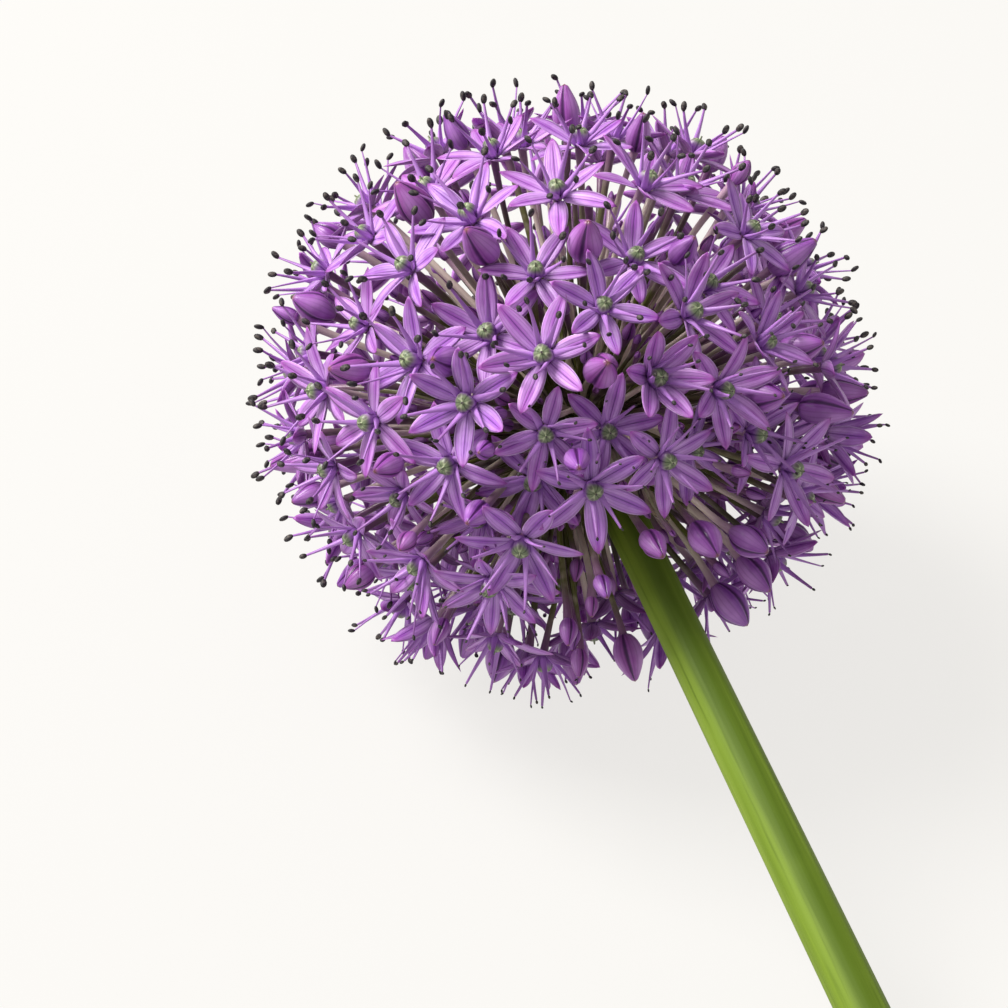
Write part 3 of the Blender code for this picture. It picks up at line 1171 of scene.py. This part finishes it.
@dataclass
class Shapes:
    """The few shapes of each organ that all flowers share."""

    tepals: list[TepalShape] = field(default_factory=lambda: [
        TepalShape(bend=0.0004, sway=0.0002, twist=0.10),
        TepalShape(bend=-0.0007, sway=-0.0003, twist=-0.12),
        TepalShape(bend=0.0010, sway=-0.0001, twist=-0.22),
        TepalShape(bend=-0.0002, sway=0.0004, twist=0.25, length=0.0080),
        TepalShape(bend=-0.0013, sway=0.0001, twist=0.05, half_width=0.00150),
        TepalShape(bend=0.0002, sway=-0.0005, twist=-0.05, half_width=0.00168),
    ])
    filaments: list[FilamentShape] = field(default_factory=lambda: [
        FilamentShape(bow=0.0002),
        FilamentShape(bow=-0.0008, length=0.0088),
        FilamentShape(bow=0.0010, length=0.0080),
        FilamentShape(bow=-0.0003, length=0.0074),
    ])
    buds: list[BudShape] = field(default_factory=lambda: [
        BudShape(),
        BudShape(belly=0.38, beak=0.16, radius=0.00235),
        BudShape(belly=0.47, beak=0.07, radius=0.00255, length=0.0080),
    ])

    def collections(self) -> dict[Organ, bpy.types.Collection]:
        """Put the shapes of each planted organ in a collection.

        Returns:
            The collections, by organ.
        """
        anthers = [AntherShape(), AntherShape(tilt=-0.5, length=0.00155)]
        made = {}
        for organ, shapes in ((Organ.TEPAL, self.tepals), (Organ.FILAMENT, self.filaments),
                              (Organ.ANTHER, anthers), (Organ.OVARY, [OvaryShape()]),
                              (Organ.BUD, self.buds)):
            made[organ] = bpy.data.collections.new(f"{organ.name.lower()}_shapes")
            for number, shape in enumerate(shapes):
                holder = bpy.data.objects.new(f"{organ.name.lower()}_{number}", shape.mesh())
                made[organ].objects.link(holder)
        return made


# ---------------------------------------------------------------- growing the clusters


@dataclass
class GrowthTree:
    """The node tree that turns a cluster's plan into tepals, stamens, ovaries, buds and stalks."""

    press_start: float = 0.0030   # below this height things flatten against the surface
    press_floor: float = 0.00005

    def build(self) -> bpy.types.NodeTree:
        """Build the tree.

        Returns:
            The tree, with named inputs for its shapes, finishes and sizes.
        """
        tree = bpy.data.node_groups.new("grow_cluster", "GeometryNodeTree")
        face = tree.interface
        face.new_socket("Geometry", in_out="INPUT", socket_type="NodeSocketGeometry")
        for organ in Organ:
            if organ is not Organ.STALK:
                face.new_socket(f"{organ.name} shapes", in_out="INPUT",
                                socket_type="NodeSocketCollection")
            face.new_socket(f"{organ.name} finish", in_out="INPUT",
                            socket_type="NodeSocketMaterial")
        face.new_socket("Stalk sides", in_out="INPUT", socket_type="NodeSocketInt")
        face.new_socket("Geometry", in_out="OUTPUT", socket_type="NodeSocketGeometry")
        graph = Graph(tree)
        given = graph.node("NodeGroupInput")
        joined = graph.node("GeometryNodeJoinGeometry")
        for organ in Organ:
            grown = self.stalks(graph, given) if organ is Organ.STALK else self.planted(
                graph, given, organ)
            finished = graph.node("GeometryNodeSetMaterial", None, {
                "Geometry": grown, "Material": graph.wire(given, f"{organ.name} finish")})
            tree.links.new(finished.outputs[0], joined.inputs[0])
        pressed = self.pressed(graph, graph.wire(joined))
        graph.node("NodeGroupOutput", None, {"Geometry": pressed})
        return tree

    def planted(self, graph: Graph, given: bpy.types.Node, organ: Organ) -> Wire:
        """Set an organ's shapes on the plan's points.

        Args:
            graph: The tree's graph.
            given: The group's input node.
            organ: Which organ.

        Returns:
            The organ's real faces.
        """
        shapes = graph.node("GeometryNodeCollectionInfo", None, {
            "Collection": graph.wire(given, f"{organ.name} shapes"),
            "Separate Children": True, "Reset Children": True})
        chosen = graph.node("FunctionNodeCompare", {"data_type": "INT", "operation": "EQUAL"},
                            {"A": graph.named("organ", "INT"), "B": int(organ)})
        placed = graph.node("GeometryNodeInstanceOnPoints", None, {
            "Points": graph.wire(given, "Geometry"),
            "Selection": graph.wire(chosen),
            "Instance": graph.wire(shapes),
            "Pick Instance": True,
            "Instance Index": graph.named("variant", "INT"),
            "Rotation": graph.named("turn", "QUATERNION"),
            "Scale": graph.named("size", "FLOAT_VECTOR")})
        return graph.wire(graph.node("GeometryNodeRealizeInstances", None,
                                     {"Geometry": graph.wire(placed)}))

    def stalks(self, graph: Graph, given: bpy.types.Node) -> Wire:
        """Run a tapering tube along each path of the plan.

        Args:
            graph: The tree's graph.
            given: The group's input node.

        Returns:
            The stalks.
        """
        paths = graph.node("GeometryNodeMeshToCurve", None,
                           {"Mesh": graph.wire(given, "Geometry")})
        along = graph.wire(graph.node("GeometryNodeSplineParameter"), "Factor")
        place = graph.node("ShaderNodeCombineXYZ", None, {"X": along})
        marked = graph.node(
            "GeometryNodeStoreNamedAttribute", {"data_type": "FLOAT_VECTOR", "domain": "POINT"},
            {"Geometry": graph.wire(paths), "Name": "place", "Value": graph.wire(place)})
        section = graph.node("GeometryNodeCurvePrimitiveCircle", None, {
            "Resolution": graph.wire(given, "Stalk sides"), "Radius": 1.0})
        turning = graph.wire(graph.node("GeometryNodeSplineParameter"), "Factor")
        numbered = graph.node(
            "GeometryNodeStoreNamedAttribute", {"data_type": "FLOAT", "domain": "POINT"},
            {"Geometry": graph.wire(section), "Name": "turning", "Value": turning})
        tube = graph.node("GeometryNodeCurveToMesh", None, {
            "Curve": graph.wire(marked), "Profile Curve": graph.wire(numbered),
            "Scale": graph.named("thickness", "FLOAT"), "Fill Caps": True})
        return graph.wire(graph.node("GeometryNodeSetShadeSmooth", None,
                                     {"Geometry": graph.wire(tube)}))

    def pressed(self, graph: Graph, geometry: Wire) -> Wire:
        """Flatten what hangs low against the surface that the head lies on.

        Args:
            graph: The tree's graph.
            geometry: What has grown.

        Returns:
            The flattened geometry.
        """
        x, y, z = graph.parts(graph.wire(graph.node("GeometryNodeInputPosition")))
        soft = self.press_start - self.press_floor
        below = (graph.math("MINIMUM", z, self.press_start) - self.press_start) / soft
        height = graph.math("EXPONENT", below) * soft + self.press_floor
        height = height + graph.math("MAXIMUM", z - self.press_start, 0.0)
        moved = graph.node("ShaderNodeCombineXYZ", None, {"X": x, "Y": y, "Z": height})
        return graph.wire(graph.node("GeometryNodeSetPosition", None, {
            "Geometry": geometry, "Position": graph.wire(moved)}))


@dataclass
class Sprig:
    """The plan of one cluster: a point for each organ and a path for each stalk."""

    points: list[np.ndarray] = field(default_factory=list)
    edges: list[tuple[int, int]] = field(default_factory=list)
    organs: list[int] = field(default_factory=list)
    variants: list[int] = field(default_factory=list)
    turns: list[Quaternion] = field(default_factory=list)
    sizes: list[Sequence[float]] = field(default_factory=list)
    tones: list[float] = field(default_factory=list)
    thicknesses: list[float] = field(default_factory=list)
    cells: list[int] = field(default_factory=list)
    cell_count: int = 0

    def plant(self, organ: Organ, point: Sequence[float], turn: np.ndarray, size: float,
              tone: float, variant: int = 0) -> None:
        """Add one organ.

        Args:
            organ: What grows there.
            point: Where it is attached.
            turn: Its turn matrix.
            size: Its share of full size.
            tone: Its own shade, from 0 to 1.
            variant: Which of its shapes it takes.
        """
        self.add(organ, point, Matrix(turn).to_quaternion(), (size, size, size), tone, 0.0,
                 variant)
        self.cell_count += 1

    def add(self, organ: Organ, point: Sequence[float], turn: Quaternion,
            size: Sequence[float], tone: float, thickness: float, variant: int) -> None:
        """Add one point with all its values.

        Args:
            organ: What grows there.
            point: Its place.
            turn: Its turn.
            size: Its size along each axis.
            tone: Its own shade, from 0 to 1.
            thickness: The stalk's radius there.
            variant: Which of its shapes it takes.
        """
        self.points.append(np.array(point, float))
        self.organs.append(int(organ))
        self.variants.append(variant)
        self.turns.append(turn)
        self.sizes.append(size)
        self.tones.append(float(np.clip(tone, 0, 1)))
        self.thicknesses.append(thickness)
        self.cells.append(self.cell_count)

    def run(self, path: np.ndarray, thickness: np.ndarray, tone: float) -> None:
        """Add a stalk's path, with its radius at each point.

        Args:
            path: The path's points.
            thickness: The radius at each point.
            tone: The stalk's own shade.
        """
        first = len(self.points)
        for point, radius in zip(path, thickness):
            self.add(Organ.STALK, point, Quaternion(), (1, 1, 1), tone, radius, 0)
        self.edges += [(n, n + 1) for n in range(first, len(self.points) - 1)]
        self.cell_count += 1

    def mesh(self) -> bpy.types.Mesh:
        """Write the plan down.

        Returns:
            A mesh of points and edges.
        """
        mesh = bpy.data.meshes.new("sprig")
        mesh.from_pydata([tuple(point) for point in self.points], self.edges, [])
        write_points(mesh, "organ", "INT", np.array(self.organs, np.int32))
        write_points(mesh, "variant", "INT", np.array(self.variants, np.int32))
        write_points(mesh, "cell", "INT", np.array(self.cells, np.int32))
        write_points(mesh, "turn", "QUATERNION", np.array([tuple(q) for q in self.turns]))
        write_points(mesh, "size", "FLOAT_VECTOR", np.array(self.sizes))
        write_points(mesh, "tone", "FLOAT", np.array(self.tones))
        write_points(mesh, "thickness", "FLOAT", np.array(self.thicknesses))
        return mesh


def lay_bake_map(mesh: bpy.types.Mesh) -> None:
    """Give every organ a square of its own on the bake's map, unrolled along and round it.

    Args:
        mesh: A mesh with the attributes place, turning and cell.
    """
    count = len(mesh.loops)
    points = np.empty(count, np.int32)
    mesh.loops.foreach_get("vertex_index", points)
    values = {}
    for name, width in (("place", 3), ("turning", 1), ("cell", 1)):
        raw = np.empty(len(mesh.vertices) * width, np.int32 if name == "cell" else np.float32)
        mesh.attributes[name].data.foreach_get("vector" if width == 3 else "value", raw)
        values[name] = raw.reshape(-1, width)[points]
    round_it, along = values["turning"][:, 0].astype(float), values["place"][:, 0].astype(float)
    starts = np.empty(len(mesh.polygons), np.int32)
    mesh.polygons.foreach_get("loop_start", starts)
    pole = round_it < 0
    high = np.where(pole, -1.0, round_it)
    highest = np.maximum.reduceat(high, starts)
    sizes = np.diff(np.append(starts, count))
    face = np.repeat(np.arange(len(starts)), sizes)
    wraps = ~pole & (highest[face] - round_it > 0.5)
    round_it = np.where(wraps, round_it + 1.0, round_it)
    total = np.add.reduceat(np.where(pole, 0.0, round_it), starts)
    kept = np.maximum(np.add.reduceat((~pole).astype(float), starts), 1)
    round_it = np.where(pole, (total / kept)[face], round_it)
    cells = int(values["cell"].max()) + 1
    side = math.ceil(math.sqrt(cells))
    margin = 0.06
    column, row = values["cell"][:, 0] % side, values["cell"][:, 0] // side
    u = (column + margin + (1 - 2 * margin) * round_it) / side
    v = (row + margin + (1 - 2 * margin) * along) / side
    layer = mesh.uv_layers.new(name="OFBake")
    layer.uv.foreach_set("vector", np.stack([u, v], axis=-1).astype(np.float32).ravel())


@dataclass
class FloretCluster:
    """One cyme of the umbel: its stalks, open florets and buds, on one foot."""

    plan: Plan
    number: int
    facing: np.ndarray
    flowers: list[Flower]
    threads: list[FilamentShape]
    base_height: float = 0.0004
    stamen_spread: float = math.radians(33)
    stamen_swing: float = math.radians(17)
    unevenness: float = math.radians(6)
    anther_sizes: tuple[float, float] = (0.38, 1.03)        # lowest and highest in the head
    late_buds: int = 2
    late_depths: tuple[float, float] = (0.50, 0.84)
    late_sizes: tuple[float, float] = (0.16, 0.44)
    late_stray: float = 0.0026
    foot_sink: float = 0.0003
    foot_spread: float = 0.0012
    stalk_bow: float = 0.0006
    start_rein: float = 0.22        # how far a stalk keeps its first and last directions
    end_rein: float = 0.28
    foot_swell: float = 0.34
    top_swell: float = 0.55
    stalk_sides: int = 8
    stalk_points: int = 11

    def sprig(self) -> Sprig:
        """Plan every organ of the cluster.

        Returns:
            The plan.
        """
        dice = np.random.default_rng(100 + self.number)
        sprig = Sprig()
        for flower in self.flowers:
            shade = dice.uniform(0, 1)
            self.add_stalk(sprig, flower, dice)
            if flower.is_open:
                self.add_floret(sprig, flower, shade, dice)
            else:
                sprig.plant(Organ.BUD, flower.base, flower.turn(), flower.size, shade,
                            int(dice.integers(3)))
            for _ in range(self.late_buds):
                late = self.late_bud(flower, dice)
                self.add_stalk(sprig, late, dice)
                sprig.plant(Organ.BUD, late.base, late.turn(), late.size, dice.uniform(0, 1), 1)
        return sprig

    def late_bud(self, flower: Flower, dice: np.random.Generator) -> Flower:
        """Make a tiny undeveloped bud that stands deep in the head beside a flower.

        Args:
            flower: The flower beside it.
            dice: The cluster's random numbers.

        Returns:
            The bud.
        """
        receptacle = np.array(self.plan.receptacle)
        reach = (flower.base - receptacle) * dice.uniform(*self.late_depths)
        base = receptacle + reach + dice.normal(0, self.late_stray, 3)
        axis = (base - receptacle) / np.linalg.norm(base - receptacle)
        return replace(flower, is_open=False, base=base, axis=axis,
                       size=dice.uniform(*self.late_sizes))

    def add_stalk(self, sprig: Sprig, flower: Flower, dice: np.random.Generator) -> None:
        """Run a bowed stalk from the foot to the flower.

        Args:
            sprig: The plan that takes it.
            flower: The flower at its end.
            dice: The cluster's random numbers.
        """
        plan = self.plan
        seat = np.array(plan.receptacle) + self.facing * (plan.receptacle_radius - self.foot_sink)
        own = flower.base - seat
        start = seat + (own / np.linalg.norm(own) - self.facing) * self.foot_spread
        length = float(np.linalg.norm(flower.base - start))
        end = flower.base + flower.axis * 0.0003
        bow = dice.normal(0, self.stalk_bow, 3)
        reins = (start, start + self.facing * length * self.start_rein + bow,
                 end - flower.axis * length * self.end_rein + bow, end)
        share = np.linspace(0, 1, self.stalk_points)[:, None]
        weights = ((1 - share) ** 3, 3 * share * (1 - share) ** 2, 3 * share ** 2 * (1 - share),
                   share ** 3)
        path = sum(weight * rein for weight, rein in zip(weights, reins))
        swell = self.foot_swell * np.exp(-share[:, 0] / 0.05)
        swell = swell + self.top_swell * share[:, 0] ** 9
        thickness = plan.pedicel_radius * (0.94 + swell) * dice.uniform(0.88, 1.12)
        thickness *= min(1.0, 0.5 + flower.size)
        sprig.run(path, thickness, dice.uniform(0, 1))

    def add_floret(self, sprig: Sprig, flower: Flower, shade: float,
                   dice: np.random.Generator) -> None:
        """Add an open floret's tepals, stamens and ovary.

        Args:
            sprig: The plan that takes them.
            flower: The floret.
            shade: The floret's own shade.
            dice: The cluster's random numbers.
        """
        turn = flower.turn()
        size = flower.size
        ripe = min(max((flower.direction[2] + 0.55) / 0.6, 0.0), 1.0)
        least, most = self.anther_sizes
        for number in range(TEPALS):
            angle = 2 * math.pi * (number + 0.5) / TEPALS
            around = np.array(Matrix.Rotation(angle, 3, "Z"))
            inner = number % 2
            cup = flower.cup + dice.normal(0, self.unevenness) + math.radians(3 * inner)
            roll = math.radians(dice.normal(0, 9))
            pose = around @ np.array(Matrix.Rotation(-cup, 3, "Y") @ Matrix.Rotation(roll, 3, "X"))
            spot = around @ (0.00085, 0, self.base_height + 0.00018 * inner)
            sprig.plant(Organ.TEPAL, flower.base + turn @ spot * size, turn @ pose,
                        size * dice.uniform(0.94, 1.05), shade * 0.8 + dice.uniform(0, 0.2),
                        int(dice.integers(6)))
            tilt = self.stamen_spread * (1.25 - 0.65 * flower.cup / math.radians(46))
            tilt += dice.normal(0, self.unevenness)
            swing = dice.normal(0, self.unevenness) + self.stamen_swing
            lean = Matrix.Rotation(swing, 3, "X") @ Matrix.Rotation(tilt, 3, "Y")
            lean = around @ np.array(lean)
            root = flower.base + turn @ (around @ (0.00075, 0, self.base_height + 0.0003)) * size
            variant = int(dice.integers(4))
            sprig.plant(Organ.FILAMENT, root, turn @ lean, size, dice.uniform(0, 1), variant)
            end = root + turn @ lean @ self.threads[variant].centre(np.array(1.0)) * size
            sprig.plant(Organ.ANTHER, end, turn @ lean, size * (least + (most - least) * ripe),
                        dice.uniform(0, 1), int(dice.integers(2)))
        sprig.plant(Organ.OVARY, flower.base + flower.axis * self.base_height, turn, size, shade)

    def build(self, tree: bpy.types.NodeTree, shapes: dict[Organ, bpy.types.Collection],
              finishes: dict[Organ, bpy.types.Material]) -> bpy.types.Object:
        """Grow the cluster's plan into one finished piece.

        Args:
            tree: The growth tree.
            shapes: The shapes of each planted organ.
            finishes: The finish of each organ.

        Returns:
            The piece.
        """
        holder = bpy.data.objects.new("sprig", self.sprig().mesh())
        bpy.context.scene.collection.objects.link(holder)
        growth = holder.modifiers.new("growth", "NODES")
        growth.node_group = tree
        sockets = {s.name: s.identifier for s in tree.interface.items_tree
                   if s.in_out == "INPUT"}
        for organ, finish in finishes.items():
            growth[sockets[f"{organ.name} finish"]] = finish
            if organ in shapes:
                growth[sockets[f"{organ.name} shapes"]] = shapes[organ]
        growth[sockets["Stalk sides"]] = self.stalk_sides
        ready = bpy.context.evaluated_depsgraph_get()
        mesh = bpy.data.meshes.new_from_object(holder.evaluated_get(ready))
        bpy.data.objects.remove(holder)
        lay_bake_map(mesh)
        name = f"blossoms_{self.number:02d}"
        mesh.name = name
        return show(name, mesh)


def show(name: str, mesh: bpy.types.Mesh) -> bpy.types.Object:
    """Show a mesh as a new object at the origin.

    Args:
        name: The object's name.
        mesh: Its mesh.

    Returns:
        The object.
    """
    made = bpy.data.objects.new(name, mesh)
    bpy.context.scene.collection.objects.link(made)
    return made


def hand_in(piece: bpy.types.Object, slot: Slot, *nodes: str) -> None:
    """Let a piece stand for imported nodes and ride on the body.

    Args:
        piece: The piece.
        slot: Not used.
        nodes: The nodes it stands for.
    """
    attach(piece, "root")
    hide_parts(*nodes)
    LOG.info("%s stands for %s, %d faces", piece.name, ", ".join(nodes),
             len(piece.data.polygons))


# ---------------------------------------------------------------- stem and bracts


@dataclass
class Stem:
    """The stem with the receptacle at its top and its cut end."""

    plan: Plan
    sides: int = 48
    crown_steps: int = 14
    crown_angle: float = math.radians(142)      # from the apex to where the crown ends
    neck: float = 1.35                          # in receptacle radii below its centre
    skin_steps: int = 60
    cut_edge: float = 0.00025
    cut_rings: Sequence[float] = (0.92, 0.8, 0.6, 0.4, 0.2)

    def profile(self) -> list[tuple[float, float, float]]:
        """Draw the stem's outline, from the receptacle down.

        Returns:
            Each ring's radius, height and whether it is on the cut.
        """
        plan = self.plan
        round_top = plan.receptacle_radius
        points = []
        for step in range(1, self.crown_steps + 1):
            angle = self.crown_angle * step / self.crown_steps
            points.append((round_top * math.sin(angle), round_top * math.cos(angle), 0.0))
        neck = -round_top * self.neck
        taper = plan.stem_end_radius - plan.stem_top_radius
        end = -plan.stem_length
        for step in range(self.skin_steps + 1):
            share = step / self.skin_steps
            height = neck + (end + self.cut_edge - neck) * share
            points.append((plan.stem_top_radius + taper * share, height, 0.0))
        points.append((plan.stem_end_radius - self.cut_edge * 0.6, end, 0.0))
        for share in self.cut_rings:
            points.append((plan.stem_end_radius * share * 0.98, end, 1.0))
        return points

    def build(self, finish: Finish) -> bpy.types.Object:
        """Make the stem.

        Args:
            finish: The stem's finish.

        Returns:
            The piece.
        """
        profile = np.array(self.profile())
        cos, sin = circle(self.sides)
        angles = 2 * math.pi * np.arange(self.sides) / self.sides
        ridges = 1 + 0.006 * np.sin(11 * angles) + 0.004 * np.sin(7 * angles + 1)
        radius = profile[:, 0, None] * ridges
        rings = np.stack([radius * cos, radius * sin, profile[:, 1, None] + 0 * cos], axis=-1)
        rings = rings[:, ::-1]
        poles = [(0, 0, self.plan.receptacle_radius), (0, 0, -self.plan.stem_length)]
        mesh = lofted("stem", rings, *poles, np.zeros(self.sides))
        grain = np.concatenate([[poles[0]], rings.reshape(-1, 3), [poles[1]]])
        place = np.zeros((len(grain), 3))
        place[1:-1, 0] = np.repeat(np.arange(len(profile)) / len(profile), self.sides)
        place[-1, 0] = 1.0
        place[1:-1, 1] = np.repeat(profile[:, 0] / self.plan.stem_end_radius, self.sides)
        place[1:-1, 2] = np.repeat(profile[:, 2], self.sides)
        place[-1, 2] = 1.0
        mesh.attributes["place"].data.foreach_set("vector", place.ravel())
        write_points(mesh, "grain", "FLOAT_VECTOR", grain)
        write_points(mesh, "cell", "INT", np.zeros(len(grain), np.int32))
        mesh.transform(self.plan.head_frame)
        mesh.materials.append(finish.material())
        lay_bake_map(mesh)
        stem = show("stem", mesh)
        hand_in(stem, Slot.STEM, "scape")
        return stem


@dataclass
class SpatheBract:
    """A dry, papery bract at the base of the umbel, curved round the stem and crumpled."""

    plan: Plan
    number: int
    count: int = 3
    length: float = 0.015
    half_angle: float = math.radians(46)
    thickness: float = 0.00012
    flare: float = 0.0022
    solid_thickness: float = 0.0004
    rows: int = 34
    columns: int = 22
    phase_step: float = 2.3
    wide_crumple: float = 0.00022
    fine_crumple: float = 0.00016

    def point(self, along: float, across: float, phase: float) -> Vector:
        """Find a point of the sheet.

        Args:
            along: How far down it, from 0 to 1.
            across: Where across it, from -1 to 1.
            phase: What sets this bract's crumples apart.

        Returns:
            The point, in the head's frame.
        """
        plan = self.plan
        middle = 2 * math.pi * (self.number - 0.5) / self.count
        ragged = 0.05 * math.sin(9 * across + phase) + 0.04 * math.sin(23 * across)
        along = along * (1 + ragged * along)
        width = 1.0 - 0.82 * along ** 1.6
        angle = middle + across * width * self.half_angle
        crumple = self.wide_crumple * math.sin(17 * across + 6 * along + phase) * along
        crumple += self.fine_crumple * math.sin(31 * along + 9 * across + 2 * phase)
        away = plan.stem_top_radius + 2.4 * self.solid_thickness + self.flare * along ** 2
        away += crumple + 0.0002
        down = plan.receptacle_radius * 0.92 + self.length * along
        return Vector((away * math.cos(angle), away * math.sin(angle), -down))

    def build(self, finish: bpy.types.Material) -> bpy.types.Object:
        """Make the bract.

        Args:
            finish: The paper's material.

        Returns:
            The piece.
        """
        points, faces, place = [], [], []
        phase = self.number * self.phase_step
        for row, column in itertools.product(range(self.rows), range(self.columns)):
            along = row / (self.rows - 1)
            across = 2 * column / (self.columns - 1) - 1
            points.append(self.plan.head_frame @ self.point(along, across, phase))
            place.append((along, across, 0.0))
            if row and column:
                here = row * self.columns + column
                faces.append((here, here - self.columns, here - self.columns - 1, here - 1))
        name = f"dry_bract_{self.number}"
        mesh = bpy.data.meshes.new(name)
        mesh.from_pydata(points, [], faces)
        write_points(mesh, "place", "FLOAT_VECTOR", np.array(place))
        mesh.materials.append(finish)
        mesh.shade_smooth()
        piece = show(name, mesh)
        sheet = piece.modifiers.new("sheet", "SOLIDIFY")
        sheet.thickness = self.thickness
        sheet.offset = 0.0
        hand_in(piece, Slot.BRACT, f"spathe_bract_{self.number}")
        return piece


# ---------------------------------------------------------------- studio


@dataclass(frozen=True)
class Studio:
    """A pale surface, soft light from the upper left and the camera."""

    plan: Plan
    azimuth: float = math.radians(-21.6)
    elevation: float = math.radians(40)
    distance: float = 0.350
    field_of_view: float = math.radians(25)
    aim_right: float = -0.0128      # from the receptacle to the middle of the view
    aim_up: float = -0.0099
    half_surface: float = 12.0
    key_place: tuple[float, float, float] = (-1.20, 1.44, 0.72)
    key_width: float = 1.0
    key_power: float = 82.0
    key_colour: Colour = (1.0, 0.985, 0.955)
    air_colour: Colour = (1.0, 0.99, 0.975)
    air_strength: float = 0.50

    def axes(self) -> tuple[Vector, Vector, Vector]:
        """Find the directions of the view.

        Returns:
            The view's right, its up and the direction towards the camera.
        """
        back = Vector((math.sin(self.azimuth) * math.cos(self.elevation),
                       -math.cos(self.azimuth) * math.cos(self.elevation),
                       math.sin(self.elevation)))
        right = Vector((math.cos(self.azimuth), math.sin(self.azimuth), 0.0))
        return right, back.cross(right), back

    def place_camera(self) -> None:
        """Aim the camera down at the flower."""
        right, up, back = self.axes()
        aim = self.plan.receptacle + right * self.aim_right + up * self.aim_up
        data = bpy.data.cameras.new("camera")
        data.angle = self.field_of_view
        data.clip_start = 0.01
        camera = bpy.data.objects.new("camera", data)
        turn = Matrix((right, up, back)).transposed().to_4x4()
        camera.matrix_world = Matrix.Translation(aim + back * self.distance) @ turn
        bpy.context.scene.collection.objects.link(camera)
        bpy.context.scene.camera = camera

    def add_light(self, name: str, place: Sequence[float], width: float, power: float,
                  colour: Colour) -> None:
        """Add a soft square light that faces the flower.

        Args:
            name: The light's name.
            place: Its place along the view's right, up and back, from the receptacle.
            width: Its width.
            power: Its power in watts.
            colour: Its colour.
        """
        right, up, back = self.axes()
        data = bpy.data.lights.new(name, "AREA")
        data.size = width
        data.energy = power
        data.color = colour
        light = bpy.data.objects.new(name, data)
        spot = self.plan.receptacle + right * place[0] + up * place[1] + back * place[2]
        aim = (self.plan.receptacle - spot).to_track_quat("-Z", "Y")
        light.matrix_world = Matrix.Translation(spot) @ aim.to_matrix().to_4x4()
        bpy.context.scene.collection.objects.link(light)

    def build(self) -> None:
        """Make the surface, the lights, the backdrop's glow and the camera."""
        half = self.half_surface
        mesh = bpy.data.meshes.new("surface")
        mesh.from_pydata([(-half, -half, 0), (half, -half, 0), (half, half, 0),
                          (-half, half, 0)], [], [(0, 1, 2, 3)])
        mesh.materials.append(SurfaceFinish("pale_surface", roughness=0.7).material())
        show("surface", mesh)
        self.add_light("key", self.key_place, self.key_width, self.key_power, self.key_colour)
        world = bpy.data.worlds.new("studio_air")
        world.use_nodes = True
        glow = world.node_tree.nodes["Background"]
        glow.inputs["Color"].default_value = (*self.air_colour, 1.0)
        glow.inputs["Strength"].default_value = self.air_strength
        bpy.context.scene.world = world
        bpy.context.scene.view_settings.view_transform = "Standard"
        self.place_camera()


def organ_finishes() -> dict[Organ, bpy.types.Material]:
    """Make the finish of each organ.

    Returns:
        The materials, by organ.
    """
    finishes = {
        Organ.STALK: StalkFinish("stalk_skin", roughness=0.30),
        Organ.TEPAL: TepalFinish("tepal_satin", roughness=0.42, through=0.12, reach=0.0006),
        Organ.FILAMENT: FilamentFinish("filament_lilac", roughness=0.40, through=0.2,
                                       reach=0.0005),
        Organ.ANTHER: AntherFinish("anther_dark", roughness=0.62),
        Organ.OVARY: OvaryFinish("ovary_green", roughness=0.42, through=0.15, reach=0.0006),
        Organ.BUD: BudFinish("bud_satin", roughness=0.33, through=0.1, reach=0.0006),
    }
    return {organ: finish.material() for organ, finish in finishes.items()}


def main() -> None:
    """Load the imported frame, grow the flower on it and light it."""
    logging.basicConfig(level=logging.INFO, format="%(name)s: %(message)s")
    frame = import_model()
    plan = Plan()
    LOG.info("%d packed nodes, receptacle at %s", len(frame["nodes"]), tuple(plan.receptacle))
    Studio(plan).build()
    Stem(plan).build(StemFinish("stem_skin", roughness=0.58, gloss=0.22))
    paper = BractFinish("bract_paper", roughness=0.75, through=0.30, reach=0.0006).material()
    for number in range(1, SpatheBract.count + 1):
        SpatheBract(plan, number).build(paper)
    arrangement = Arrangement(plan)
    shapes = Shapes()
    stock = shapes.collections()
    finishes = organ_finishes()
    tree = GrowthTree().build()
    for number, (centre, own) in enumerate(arrangement.clusters(arrangement.flowers()), 1):
        cluster = FloretCluster(plan, number, arrangement.foot(centre), own, shapes.filaments)
        piece = cluster.build(tree, stock, finishes)
        hand_in(piece, Slot.FLORETS, f"floret_cluster_{number:02d}")


if __name__ == "__main__":
    main()
